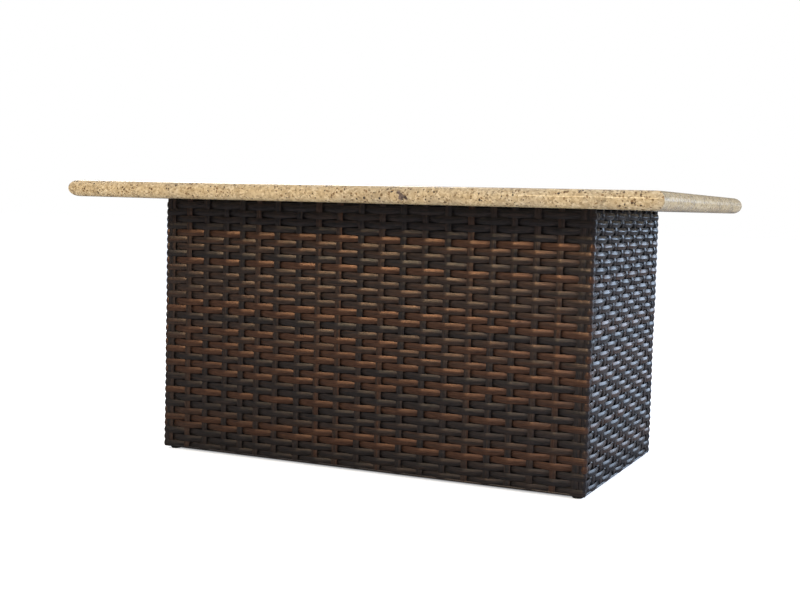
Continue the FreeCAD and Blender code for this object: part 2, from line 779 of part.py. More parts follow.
def make_hinges(lower, upper):
    """Two butt hinges: three knuckles each, the middle one on the door."""
    share = S["hinge_height"] / 3
    gap = S["hinge_knuckle_gap"]
    frame_leaf_x = HINGE_JAMB_FACE
    door_leaf_x = DOOR_HINGE_EDGE - S["hinge_leaf_thickness"]
    frame_leaves = []
    door_leaves = []
    pins = []
    for name, middle in (("lower", lower), ("upper", upper)):
        bottom = middle - S["hinge_height"] / 2
        first = knuckle(f"{name}_first", bottom, share - gap, S["hinge_pin_radius"],
                        frame_leaf_x, bottom, S["hinge_height"])
        third = knuckle(f"{name}_third", bottom + 2 * share + gap, share - gap, S["hinge_pin_radius"],
                        frame_leaf_x, bottom, S["hinge_height"])
        solid = fused(f"{name}_frame_leaf_solid", [*first[:3], *third[:2]])
        frame_leaves.append(cut(f"{name}_frame_leaf", solid, [first[3], third[3]]))
        running = S["hinge_pin_radius"] + S["hinge_running_gap"]
        second = knuckle(f"{name}_second", bottom + share, share, running,
                         door_leaf_x, bottom, S["hinge_height"])
        solid = fused(f"{name}_door_leaf_solid", list(second[:3]))
        door_leaves.append(cut(f"{name}_door_leaf", solid, [second[3]]))
        pins.append(cylinder(f"{name}_pin", S["hinge_pin_radius"], S["hinge_height"],
                             (HINGE_X, HINGE_Y, bottom)))
    piece("hinge_frame_leaves", group("frame_leaves", frame_leaves))
    piece("hinge_door_leaves", group("door_leaves", door_leaves))
    piece("hinge_pins", group("pins", pins))


def make_tray():
    """The sheet that carries the gas cylinder, with a ring around its foot."""
    half_depth = INSIDE_Y + S["tray_rest"]
    centre = DOOR_MIDDLE
    length = S["door_width"] - 2 * S["tray_side_gap"]
    sheet = box("tray_sheet", (length, 2 * half_depth, S["tray_thickness"]),
                (centre - length / 2, -half_depth, LOWER_RAIL_TOP))
    height = S["tray_thickness"] + S["tray_ring_height"]
    outside = S["tray_ring_radius"] + S["tray_ring_wall"]
    ring = cylinder("tray_ring", outside, height, (centre, 0.0, LOWER_RAIL_TOP))
    inside = cylinder("tray_ring_inside", S["tray_ring_radius"], S["tray_ring_height"],
                      (centre, 0.0, LOWER_RAIL_TOP + S["tray_thickness"]))
    piece("tank_tray", cut("tray", fused("tray_solid", [sheet, ring]), [inside]))


def make_pan():
    """The fire pan: a folded tub hung by its lip in the stone, with three holes in its floor."""
    body = new_body("pan")
    lip = new_sketch(body, "pan_lip_outline", "XY_Plane")
    draw_rounded_rectangle(lip, S["pan_length"] + 2 * S["pan_lip"], S["pan_width"] + 2 * S["pan_lip"],
                           S["pan_corner_radius"] + S["pan_lip"])
    pad(body, lip, S["pan_sheet"])
    tub = new_sketch(body, "pan_tub_outline", "XY_Plane")
    draw_rounded_rectangle(tub, S["pan_length"], S["pan_width"], S["pan_corner_radius"])
    pad(body, tub, S["pan_depth"] - S["pan_sheet"], downward=True)
    inside = new_sketch(body, "pan_inside_outline", "XY_Plane", S["pan_sheet"])
    sheet = S["pan_sheet"]
    draw_rounded_rectangle(inside, S["pan_length"] - 2 * sheet, S["pan_width"] - 2 * sheet,
                           S["pan_corner_radius"] - sheet)
    pocket(body, inside, S["pan_depth"] - sheet)
    place(body, (0.0, 0.0, S["table_height"] - sheet))
    hub = cylinder("pan_hub_hole", S["hub_radius"] + S["hub_hole_gap"], sheet, (0.0, 0.0, PAN_BOTTOM))
    electrode = cylinder("pan_electrode_hole", S["insulator_radius"] + S["sensor_hole_gap"], sheet,
                         (S["electrode_offset"], SENSOR_Y, PAN_BOTTOM))
    probe = cylinder("pan_probe_hole", S["probe_radius"] + S["sensor_hole_gap"], sheet,
                     (S["probe_offset"], SENSOR_Y, PAN_BOTTOM))
    piece("fire_pan", cut("pan_finished", body, [hub, electrode, probe]))


def burner_tubes(name, wall=0.0):
    """The two legs and the thinner cross tube of the burner, or their bores inside a wall."""
    radius = S["burner_tube_radius"] - wall
    length = S["burner_leg_length"] - 2 * wall
    legs = []
    for side, y in (("front", -BURNER_LEG_Y), ("back", BURNER_LEG_Y)):
        legs.append(cylinder(f"{name}_{side}_leg", radius, length, (-length / 2, y, BURNER_HEIGHT), "X"))
    cross = cylinder(f"{name}_cross", radius - S["burner_tube_wall"], 2 * BURNER_LEG_Y,
                     (0.0, -BURNER_LEG_Y, BURNER_HEIGHT), "Y")
    return legs + [cross]


def make_burner():
    """The H-shaped burner with its hub, its collar and two rows of gas ports."""
    hub_height = BURNER_HEIGHT - HUB_BOTTOM
    hub = cylinder("burner_hub", S["hub_radius"], hub_height, (0.0, 0.0, HUB_BOTTOM))
    collar = cylinder("burner_collar", S["collar_radius"], S["collar_thickness"], (0.0, 0.0, PAN_FLOOR))
    solid = fused("burner_solid", burner_tubes("burner") + [hub, collar])
    bores = burner_tubes("burner_bore", S["burner_tube_wall"])
    bores.append(cylinder("burner_hub_bore", S["hub_radius"] - 2 * S["burner_tube_wall"], hub_height,
                          (0.0, 0.0, HUB_BOTTOM)))
    port_reach = S["burner_leg_length"] / 2 - S["burner_port_margin"]
    ports_each_side = int(port_reach / S["burner_port_pitch"])
    port_length = S["burner_tube_radius"] + S["burner_tube_wall"]
    for side, y in (("front", -BURNER_LEG_Y), ("back", BURNER_LEG_Y)):
        for index in range(-ports_each_side, ports_each_side + 1):
            bores.append(cylinder(f"burner_port_{side}_{index + ports_each_side}", S["burner_port_radius"],
                                  port_length, (index * S["burner_port_pitch"], y, BURNER_HEIGHT)))
    piece("burner", cut("burner_finished", solid, bores))
    nut_bottom = PAN_BOTTOM - S["lock_nut_thickness"]
    nut = hexagon("nut_hexagon", S["lock_nut_radius"], S["lock_nut_thickness"], (0.0, 0.0, nut_bottom))
    hole = cylinder("nut_hole", S["hub_radius"] + S["mixer_fit"], S["lock_nut_thickness"],
                    (0.0, 0.0, nut_bottom))
    piece("burner_lock_nut", cut("nut", nut, [hole]))


def make_rocks():
    """The bed of lava rocks as one filling, clear of everything that stands in it."""
    gap = S["rock_gap"]
    bottom = PAN_FLOOR + gap
    height = S["table_height"] - S["rock_depth_below_top"] - bottom
    inset = 2 * S["pan_sheet"] + 2 * gap
    filling = plate_body("rock_filling", S["pan_length"] - inset, S["pan_width"] - inset,
                         S["pan_corner_radius"] - S["pan_sheet"] - gap, height)
    place(filling, (0.0, 0.0, bottom))
    trench_width = 2 * S["burner_tube_radius"] + 2 * gap
    trench_height = BURNER_HEIGHT + S["burner_tube_radius"] + gap - bottom
    leg = (S["burner_leg_length"] + 2 * gap, trench_width, trench_height)
    removed = [centred_box("rock_front_trench", leg, (0.0, -BURNER_LEG_Y), bottom),
               centred_box("rock_back_trench", leg, (0.0, BURNER_LEG_Y), bottom)]
    cross = (2 * S["collar_radius"] + 2 * gap, 2 * BURNER_LEG_Y, trench_height)
    removed.append(centred_box("rock_cross_trench", cross, (0.0, 0.0), bottom))
    well_length = S["probe_offset"] - S["electrode_offset"] + 2 * S["insulator_collar_radius"] + 2 * gap
    well_middle = (S["probe_offset"] + S["electrode_offset"]) / 2
    well_height = ELECTRODE_HEIGHT + S["electrode_radius"] + gap - bottom
    well_depth = 2 * S["sensor_clearance"]
    removed.append(centred_box("rock_sensor_well", (well_length, well_depth, well_height),
                               (well_middle, SENSOR_Y), bottom))
    piece("lava_rock_bed", cut("rock_bed", filling, removed))


def make_mixer():
    """The air mixer under the hub and the elbow that holds the gas orifice."""
    barrel = cylinder("mixer_barrel", S["mixer_radius"], S["mixer_length"], (0.0, 0.0, MIXER_BOTTOM))
    socket = cylinder("mixer_socket", S["hub_radius"] + S["mixer_fit"], S["mixer_socket_depth"],
                      (0.0, 0.0, HUB_BOTTOM))
    bore = cylinder("mixer_bore", S["mixer_bore_radius"], S["mixer_length"], (0.0, 0.0, MIXER_BOTTOM))
    air_height = MIXER_BOTTOM + S["mixer_air_hole_height"]
    side = S["mixer_radius"]
    air_x = cylinder("mixer_air_x", S["mixer_air_hole_radius"], 2 * side, (-side, 0.0, air_height), "X")
    air_y = cylinder("mixer_air_y", S["mixer_air_hole_radius"], 2 * side, (0.0, -side, air_height), "Y")
    piece("air_mixer", cut("mixer", barrel, [socket, bore, air_x, air_y]))

    rise = S["elbow_rise"] + S["elbow_radius"]
    upright = cylinder("elbow_upright", S["elbow_radius"], rise, (0.0, 0.0, GAS_HEIGHT - S["elbow_radius"]))
    arm = cylinder("elbow_arm", S["elbow_radius"], S["elbow_reach"], (0.0, 0.0, GAS_HEIGHT), "Y")
    bend = (0.0, 0.0, GAS_HEIGHT)
    upright_bore = cylinder("elbow_upright_bore", S["elbow_bore_radius"], S["elbow_rise"], bend)
    arm_bore = cylinder("elbow_arm_bore", S["elbow_bore_radius"], S["elbow_reach"], bend, "Y")
    piece("orifice_elbow", cut("elbow", fused("elbow_solid", [upright, arm]), [upright_bore, arm_bore]))


def make_gas_line():
    """The rigid gas line: straight back from the elbow, one bend, straight to the valve."""
    body = new_body("line")
    path = new_sketch(body, "line_path", "XY_Plane")
    bend = S["line_bend_radius"]
    start = S["elbow_reach"]
    end = VALVE_X - S["valve_width"] / 2 - S["valve_outlet_length"]
    first = draw_line(path, (0.0, start), (0.0, VALVE_MIDDLE - bend))
    circle = Part.Circle(Vector(float(bend), float(VALVE_MIDDLE - bend), 0), Vector(0, 0, 1), float(bend))
    turn = path.addGeometry(Part.ArcOfCircle(circle, math.pi / 2, math.pi))
    last = draw_line(path, (bend, VALVE_MIDDLE), (end, VALVE_MIDDLE))
    path.addConstraint(Sketcher.Constraint("Tangent", first, 2, turn, 2))
    path.addConstraint(Sketcher.Constraint("Tangent", turn, 1, last, 1))
    limit(path, "Radius", (turn,), bend)
    pin_point(path, turn, 3, bend, VALVE_MIDDLE - bend)
    pin_point(path, first, 1, 0.0, start)
    pin_point(path, last, 2, end, VALVE_MIDDLE)
    section = new_sketch(body, "line_section", "XZ_Plane", -start)
    draw_circle(section, S["line_radius"])
    draw_circle(section, S["line_radius"] - S["line_wall"])
    DOC.recompute()
    pipe = body.newObject("PartDesign::AdditivePipe", "line_pipe")
    pipe.Profile = section
    pipe.Spine = (path, ["Edge1", "Edge2", "Edge3"])
    place(body, (0.0, 0.0, GAS_HEIGHT))
    piece("gas_line", body)


def make_control_panel():
    """The plate outside the weave and the box behind it, held together by four screws."""
    plate = plate_body("plate", S["plate_length"], S["plate_height"], S["plate_corner_radius"],
                       S["plate_thickness"])
    place(plate, (S["control_offset"], WEAVE_Y, GAS_HEIGHT), "Y")
    stem_hole = cylinder("plate_stem_hole", S["stem_radius"] + S["stem_hole_gap"], S["plate_thickness"],
                         (VALVE_X, WEAVE_Y, GAS_HEIGHT), "Y")
    igniter_hole = cylinder("plate_igniter_hole", S["igniter_radius"] + S["igniter_hole_gap"],
                            S["plate_thickness"], (IGNITER_X, WEAVE_Y, GAS_HEIGHT), "Y")
    holes = screw_holes("plate", S["plate_thickness"], WEAVE_Y)
    piece("control_plate", cut("plate_finished", plate, [stem_hole, igniter_hole] + holes))

    wall = S["box_wall"]
    left = S["control_offset"] - S["plate_length"] / 2
    low = GAS_HEIGHT - S["plate_height"] / 2
    shell = box("box_shell", (S["plate_length"], S["box_depth"], S["plate_height"]), (left, BOX_BACK, low))
    room = (S["plate_length"] - 2 * wall, S["box_depth"] - wall, S["plate_height"] - 2 * wall)
    hollow = box("box_hollow", room, (left + wall, BOX_BACK + wall, low + wall))
    boss = S["box_boss_size"]
    bosses = []
    for index, (x, z) in enumerate(screw_spots()):
        boss_x = left if float(x) < float(S["control_offset"]) else left + S["plate_length"] - boss
        boss_z = low if float(z) < float(GAS_HEIGHT) else low + S["plate_height"] - boss
        bosses.append(box(f"box_boss_{index}", (boss, S["box_depth"], boss), (boss_x, BOX_BACK, boss_z)))
    solid = fused("box_solid", [cut("box_open", shell, [hollow])] + bosses)
    stem_hole = cylinder("box_stem_hole", S["stem_radius"] + S["stem_hole_gap"], wall,
                         (VALVE_X, BOX_BACK, GAS_HEIGHT), "Y")
    igniter_hole = cylinder("box_igniter_hole", S["igniter_radius"] + S["igniter_hole_gap"], wall,
                            (IGNITER_X, BOX_BACK, GAS_HEIGHT), "Y")
    holes = screw_holes("box", S["box_depth"], BOX_BACK)
    piece("control_box", cut("box_finished", solid, [stem_hole, igniter_hole] + holes))

    screws = []
    for index, (x, z) in enumerate(screw_spots()):
        shank = cylinder(f"screw_shank_{index}", S["screw_radius"], S["screw_length"],
                         (x, PLATE_FACE - S["screw_length"], z), "Y")
        head = cylinder(f"screw_head_{index}", S["screw_head_radius"], S["screw_head_height"],
                        (x, PLATE_FACE, z), "Y")
        screws.append(fused(f"screw_{index}", [shank, head]))
    piece("control_plate_screws", group("plate_screws", screws))


def make_valve():
    """The gas valve on the back of the box, with its plunger, stem and inlet fitting."""
    low = GAS_HEIGHT - S["valve_height"] / 2
    block = box("valve_block", (S["valve_width"], S["valve_depth"], S["valve_height"]),
                (VALVE_X - S["valve_width"] / 2, VALVE_REAR, low))
    outlet_x = VALVE_X - S["valve_width"] / 2 - S["valve_outlet_length"]
    outlet = cylinder("valve_outlet", S["valve_outlet_radius"], S["valve_outlet_length"],
                      (outlet_x, VALVE_MIDDLE, GAS_HEIGHT), "X")
    outlet_bore = cylinder("valve_outlet_bore", S["line_radius"] - S["line_wall"], S["valve_outlet_length"],
                           (outlet_x, VALVE_MIDDLE, GAS_HEIGHT), "X")
    bore_start = VALVE_REAR + S["valve_rear_wall"]
    bore = cylinder("valve_bore", S["stem_radius"] + S["valve_running_gap"], BOX_BACK - bore_start,
                    (VALVE_X, bore_start, GAS_HEIGHT), "Y")
    piece("gas_valve", cut("valve", fused("valve_solid", [block, outlet]), [outlet_bore, bore]))

    piece("valve_plunger", cylinder("plunger", S["stem_radius"], S["plunger_length"],
                                    (VALVE_X, PLUNGER_START, GAS_HEIGHT), "Y"))
    stem_length = KNOB_FACE + S["knob_socket_depth"] - STEM_END
    piece("valve_stem", cylinder("stem", S["stem_radius"], stem_length,
                                 (VALVE_X, STEM_END, GAS_HEIGHT), "Y"))

    hex_bottom = low - S["inlet_hex_height"]
    nut = hexagon("inlet_nut", S["inlet_hex_radius"], S["inlet_hex_height"],
                  (VALVE_X, VALVE_MIDDLE, hex_bottom))
    thread_bottom = hex_bottom - S["inlet_thread_length"]
    thread = cylinder("inlet_thread", S["inlet_thread_radius"], S["inlet_thread_length"],
                      (VALVE_X, VALVE_MIDDLE, thread_bottom))
    passage_length = S["inlet_thread_length"] + S["inlet_hex_height"]
    passage = cylinder("inlet_passage", S["inlet_bore_radius"], passage_length,
                       (VALVE_X, VALVE_MIDDLE, thread_bottom))
    piece("inlet_fitting", cut("inlet", fused("inlet_solid", [nut, thread]), [passage]))


def make_knob():
    """The control knob: a round skirt, a bar to hold and a socket for the stem."""
    body = new_body("knob")
    skirt = new_sketch(body, "knob_skirt", "XY_Plane")
    draw_circle(skirt, S["knob_radius"])
    skirt_pad = pad(body, skirt, S["knob_skirt_height"])
    skirt_height = float(S["knob_skirt_height"])
    round_edges(body, skirt_pad, S["knob_edge_radius"],
                lambda edge: edge.Closed and abs(edge.BoundBox.ZMin - skirt_height) < 0.01)
    grip = new_sketch(body, "knob_grip", "XY_Plane")
    draw_round_ended_bar(grip, S["knob_grip_length"], S["knob_grip_width"])
    grip_height = S["knob_skirt_height"] + S["knob_grip_height"]
    grip_pad = pad(body, grip, grip_height)
    round_edges(body, grip_pad, S["knob_edge_radius"],
                lambda edge: abs(edge.BoundBox.ZMin - float(grip_height)) < 0.01)
    place(body, (VALVE_X, KNOB_FACE, GAS_HEIGHT), "Y")
    socket = cylinder("knob_socket", S["stem_radius"], S["knob_socket_depth"],
                      (VALVE_X, KNOB_FACE, GAS_HEIGHT), "Y")
    piece("control_knob", cut("knob_finished", body, [socket]))


def make_igniter():
    """The igniter: a barrel through the panel and a button held in by its shoulder."""
    barrel = cylinder("igniter_barrel", S["igniter_radius"], PLATE_FACE - IGNITER_TAIL,
                      (IGNITER_X, IGNITER_TAIL, GAS_HEIGHT), "Y")
    bezel = cylinder("igniter_bezel", S["bezel_radius"], S["bezel_thickness"],
                     (IGNITER_X, PLATE_FACE, GAS_HEIGHT), "Y")
    neck_start = BEZEL_FACE - S["button_neck_length"]
    neck = cylinder("igniter_neck", S["button_radius"] + S["button_fit"], S["button_neck_length"],
                    (IGNITER_X, neck_start, GAS_HEIGHT), "Y")
    shoulder = S["button_radius"] + S["button_shoulder_width"]
    chamber_length = S["button_shoulder_height"] + S["button_room"]
    chamber = cylinder("igniter_chamber", shoulder + S["button_fit"], chamber_length,
                       (IGNITER_X, neck_start - chamber_length, GAS_HEIGHT), "Y")
    piece("igniter_body", cut("igniter", fused("igniter_solid", [barrel, bezel]), [neck, chamber]))

    button_start = neck_start - S["button_shoulder_height"] - S["button_fit"]
    reach = BEZEL_FACE + S["button_stand_out"] - button_start
    outline = [(0.0, 0.0), (shoulder, 0.0), (shoulder, S["button_shoulder_height"]),
               (S["button_radius"], S["button_shoulder_height"]), (S["button_radius"], reach), (0.0, reach)]
    button = turned_body("button", outline)
    top_edge = round_edge_of(S["button_radius"])
    round_edges(button, button.Tip, S["button_edge_radius"],
                lambda edge: top_edge(edge) and abs(edge.BoundBox.ZMin - float(reach)) < 0.01)
    place(button, (IGNITER_X, button_start, GAS_HEIGHT), "Y")
    piece("igniter_button", button)


def make_electrode():
    """The spark electrode in its insulator, beside the back leg of the burner."""
    x = S["electrode_offset"]
    y = SENSOR_Y
    low = PAN_BOTTOM - S["insulator_drop"]
    high = BURNER_HEIGHT
    stem = cylinder("insulator_stem", S["insulator_radius"], high - low, (x, y, low))
    collar = cylinder("insulator_collar", S["insulator_collar_radius"], S["insulator_collar_height"],
                      (x, y, PAN_FLOOR))
    bore = cylinder("insulator_bore", S["electrode_radius"] + S["electrode_fit"], high - low, (x, y, low))
    piece("electrode_insulator", cut("insulator", fused("insulator_solid", [stem, collar]), [bore]))

    tail = low - S["electrode_tail"]
    tip_y = BURNER_LEG_Y - S["burner_tube_radius"] - S["spark_gap"]
    rod = cylinder("electrode_rod", S["electrode_radius"], ELECTRODE_HEIGHT - tail, (x, y, tail))
    bend = DOC.addObject("Part::Sphere", "electrode_bend")
    bind(bend, "Radius", S["electrode_radius"])
    place(bend, (x, y, ELECTRODE_HEIGHT))
    tip = cylinder("electrode_tip", S["electrode_radius"], tip_y - y, (x, y, ELECTRODE_HEIGHT), "Y")
    piece("spark_electrode", fused("electrode", [rod, bend, tip]))


def make_thermocouple():
    """The thermocouple: a probe through the pan floor and its thin line to the valve."""
    x = S["probe_offset"]
    y = SENSOR_Y
    low = PAN_BOTTOM - S["probe_drop"]
    probe = cylinder("probe_stem", S["probe_radius"], BURNER_HEIGHT - low, (x, y, low))
    collar = cylinder("probe_collar", S["probe_collar_radius"], S["probe_collar_height"], (x, y, PAN_FLOOR))
    port_x = VALVE_X + S["probe_port_offset"]
    port_z = GAS_HEIGHT + S["probe_port_offset"]
    points = [Vector(port_x, VALVE_REAR, port_z), Vector(port_x, y, port_z),
              Vector(x, y, port_z), Vector(x, y, low)]
    line = swept_line("capillary", S["capillary_radius"], points)
    piece("thermocouple", fused("thermocouple_whole", [probe, collar, line]))


def make_ignition_lead():
    """The lead from the igniter's tail to the tail of the electrode."""
    x = S["electrode_offset"]
    y = SENSOR_Y
    tail = PAN_BOTTOM - S["insulator_drop"] - S["electrode_tail"]
    points = [Vector(IGNITER_X, IGNITER_TAIL, GAS_HEIGHT), Vector(IGNITER_X, y, GAS_HEIGHT),
              Vector(x, y, GAS_HEIGHT), Vector(x, y, tail)]
    piece("ignition_lead", swept_line("lead", S["lead_radius"], points))


def make_feet():
    """Threaded inserts in the posts and a levelling foot in each."""
    x = FRAME_X - S["tube_size"] / 2
    y = FRAME_Y - S["tube_size"] / 2
    spots = {"front_left": (-x, -y), "front_right": (x, -y), "back_left": (-x, y), "back_right": (x, y)}
    side = S["tube_size"] - 2 * S["tube_wall"] - 2 * S["insert_fit"]
    pad_height = FRAME_BOTTOM - S["foot_gap"]
    edge = S["foot_edge"]
    outline = [(0.0, 0.0), (S["foot_radius"] - edge, 0.0), (S["foot_radius"], edge),
               (S["foot_radius"], pad_height), (S["foot_stud_radius"], pad_height),
               (S["foot_stud_radius"], pad_height + S["foot_stud_length"]),
               (0.0, pad_height + S["foot_stud_length"])]
    inserts = []
    for name, spot in spots.items():
        foot = turned_body("foot_" + name, outline)
        place(foot, (*spot, 0.0))
        piece("levelling_foot_" + name, foot)
        block = centred_box(f"insert_{name}", (side, side, S["insert_height"]), spot, FRAME_BOTTOM)
        hole = cylinder(f"insert_hole_{name}", S["foot_stud_radius"] + S["insert_fit"], S["insert_height"],
                        (*spot, FRAME_BOTTOM))
        inserts.append(cut(f"insert_finished_{name}", block, [hole]))
    piece("foot_inserts", group("inserts", inserts))


def check_and_write():
    """Make sure that every shape is sound, then write one file for each piece."""
    DOC.recompute()
    for thing in DOC.Objects:
        if {"Invalid", "Error"} & set(thing.State):
            raise RuntimeError(f"{thing.Label} could not be built: {thing.State}")
    os.makedirs("parts", exist_ok=True)
    for thing in PARTS:
        if thing.Shape.isNull() or not thing.Shape.isValid():
            raise RuntimeError(f"{thing.Label} has no sound shape")
        thing.Shape.exportStep(f"parts/{thing.Label}.step")
        print(f"{thing.Label}: {len(thing.Shape.Solids)} solid(s), {thing.Shape.Volume / 1000.0:.1f} cm3")


make_top()
make_bumpers()
make_frame()
make_weave()
make_door()
make_tray()
make_pan()
make_burner()
make_rocks()
make_mixer()
make_gas_line()
make_control_panel()
make_valve()
make_knob()
make_igniter()
make_electrode()
make_thermocouple()
make_ignition_lead()
make_feet()
check_and_write()
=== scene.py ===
# %% [markdown]
# # A woven fire pit table with a granite top
# The table is a granite slab on a base of woven resin strands, with a gas burner let into the slab.
# The construction model is already there: it gives every part its place and says what moves.
# This lesson dresses it. The plain skins of the base become real woven strands, the block of rock
# becomes loose stones, and every other part gets a finish of its own.

# %% Load the construction model
import json
import math
import random

import bpy
from mathutils import Euler, Matrix, Vector


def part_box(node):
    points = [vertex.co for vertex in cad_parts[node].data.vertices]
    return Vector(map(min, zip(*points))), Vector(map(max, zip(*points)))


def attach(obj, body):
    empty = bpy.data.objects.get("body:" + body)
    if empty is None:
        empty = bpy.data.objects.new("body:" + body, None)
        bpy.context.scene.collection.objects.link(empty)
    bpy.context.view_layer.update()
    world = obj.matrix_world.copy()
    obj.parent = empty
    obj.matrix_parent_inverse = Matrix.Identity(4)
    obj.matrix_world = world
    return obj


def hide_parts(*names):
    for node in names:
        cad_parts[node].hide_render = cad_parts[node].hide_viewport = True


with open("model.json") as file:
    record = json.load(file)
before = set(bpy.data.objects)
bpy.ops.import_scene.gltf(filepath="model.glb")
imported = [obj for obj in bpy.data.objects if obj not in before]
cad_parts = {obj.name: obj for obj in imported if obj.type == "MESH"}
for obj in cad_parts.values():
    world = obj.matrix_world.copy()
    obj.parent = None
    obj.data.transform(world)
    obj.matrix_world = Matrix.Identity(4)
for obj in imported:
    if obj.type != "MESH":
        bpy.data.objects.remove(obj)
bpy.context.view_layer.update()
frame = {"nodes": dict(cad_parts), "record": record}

MM = 0.001

# %% [markdown]
# ## The camera
# The photograph was taken from just under the height of the slab, to the right of the middle, so the
# slab shows its edges and the base shows its front and its right end. A camera in Blender looks along
# its own -Z. Building its matrix from a yaw, a pitch and a small roll keeps those three easy to read.

# %% Place the camera
CAMERA_PLACE = Vector((1.1518, -2.5891, 0.5623))
YAW, PITCH, ROLL = math.radians(24.608), math.radians(-4.268), math.radians(1.518)
LENS_MM, SENSOR_MM = 55.67, 36

look = Vector((-math.sin(YAW) * math.cos(PITCH), math.cos(YAW) * math.cos(PITCH), math.sin(PITCH)))
level = Vector((math.cos(YAW), math.sin(YAW), 0))
upright = level.cross(look)
right = math.cos(ROLL) * level + math.sin(ROLL) * upright
up = math.cos(ROLL) * upright - math.sin(ROLL) * level
bpy.ops.object.camera_add()
camera = bpy.context.object
camera.matrix_world = Matrix.Translation(CAMERA_PLACE) @ Matrix((right, up, -look)).transposed().to_4x4()
camera.data.lens = LENS_MM
camera.data.sensor_width = SENSOR_MM
bpy.context.scene.camera = camera
print("camera to table:", round(CAMERA_PLACE.length, 2), "m")

# %% [markdown]
# ## Two helpers for colours and nodes
# Colours are chosen on screen, in sRGB, and written as hex values. Blender's sockets want linear light,
# so one function turns the first into the second. Node trees are long-winded in code, so one more
# function adds a node, sets its options and fills its sockets with values or with other nodes' outputs.

# %% Colours and nodes
def linear(hex_colour):
    """An sRGB hex colour as linear red, green, blue and alpha."""
    shares = [int(hex_colour[i:i + 2], 16) / 255 for i in (1, 3, 5)]
    return [s / 12.92 if s <= 0.04045 else ((s + 0.055) / 1.055) ** 2.4 for s in shares] + [1.0]


def add_node(tree, kind, options=None, inputs=None, stops=None):
    """Add one node: options are its properties, inputs its sockets, stops the colours of a ramp."""
    node = tree.nodes.new("ShaderNode" + kind)
    for name, value in (options or {}).items():
        setattr(node, name, value)
    for socket, value in (inputs or {}).items():
        if isinstance(value, bpy.types.NodeSocket):
            tree.links.new(value, node.inputs[socket])
        else:
            node.inputs[socket].default_value = value
    if stops:
        ramp = node.color_ramp
        while len(ramp.elements) < len(stops):
            ramp.elements.new(1.0)
        for element, (place, colour) in zip(ramp.elements, stops):
            element.position = place
            element.color = linear(colour)
    return node


print("a mid grey of #808080 is", round(linear("#808080")[0], 3), "in linear light")

# %% [markdown]
# ## Floor, sky and lamps
# The table stands on a white sweep. The floor is an ordinary pale surface that takes the shadow; a
# little glow that only the camera sees lifts it to white. The sky is white to the camera and pale blue
# as soft light. What shiny things mirror is darker: the strands in the photograph mirror a dull floor
# and a dim horizon, and only the sky overhead is bright.
# Two boxes in front, a warm main one and a weaker one on the right, are mirrored by the floats of the
# front. Two broad ones that nothing mirrors light the front and the right end evenly. A wide, low box far
# behind on the right is the window that makes the floats of the end shine. It is low, so that the
# polished slab mirrors it only in views that are nearly level. The last box keeps the back readable.

# %% The floor
FLOOR_SIZE = 60
FLOOR_GLOW = 0.58
DARK_HALF_LENGTH, DARK_HALF_DEPTH = 0.48, 0.25

bpy.ops.object.select_all(action="DESELECT")
bpy.ops.mesh.primitive_plane_add(size=FLOOR_SIZE)
floor = bpy.context.object
floor.name = "white_floor"
paper = bpy.data.materials.new("white paper sweep, matt")
paper.use_nodes = True
tree = paper.node_tree
tree.nodes.clear()
place = add_node(tree, "TexCoord").outputs["Object"]
mottle = add_node(tree, "TexNoise", inputs={"Vector": place, "Scale": 1.5, "Detail": 3.0})
tint = add_node(tree, "ValToRGB", inputs={"Fac": mottle.outputs["Fac"]},
                stops=[(0.3, "#E4E4E3"), (0.7, "#E9E9E9")])
matt = add_node(tree, "BsdfDiffuse", inputs={"Color": tint.outputs["Color"]})
# No glow under the base, so that its inside stays as dark as it is
reach = add_node(tree, "VectorMath", {"operation": "MULTIPLY"},
                 {0: place, 1: (1 / DARK_HALF_LENGTH, 1 / DARK_HALF_DEPTH, 0)})
apart = add_node(tree, "VectorMath", {"operation": "ABSOLUTE"}, {0: reach.outputs[0]})
sides = add_node(tree, "SeparateXYZ", inputs={0: apart.outputs[0]})
outside = add_node(tree, "Math", {"operation": "MAXIMUM"}, {0: sides.outputs["X"], 1: sides.outputs["Y"]})
amount = add_node(tree, "MapRange", inputs={0: outside.outputs[0], 1: 0.95, 2: 1.0, 3: 0.0, 4: FLOOR_GLOW})
glow = add_node(tree, "Emission", inputs={"Color": linear("#FFFFFF"), "Strength": amount.outputs[0]})
rays = add_node(tree, "LightPath").outputs
lit = add_node(tree, "AddShader", inputs={0: matt.outputs[0], 1: glow.outputs[0]})
dim = add_node(tree, "BsdfDiffuse", inputs={"Color": linear("#7C7874")})
other = add_node(tree, "MixShader", inputs={0: rays["Is Glossy Ray"], 1: matt.outputs[0], 2: dim.outputs[0]})
seen = add_node(tree, "MixShader", inputs={0: rays["Is Camera Ray"], 1: other.outputs[0], 2: lit.outputs[0]})
add_node(tree, "OutputMaterial", inputs={"Surface": seen.outputs[0]})
floor.data.materials.append(paper)
print("floor:", floor.name, FLOOR_SIZE, "m square")

# %% The sky
SOFT_LIGHT = 0.7

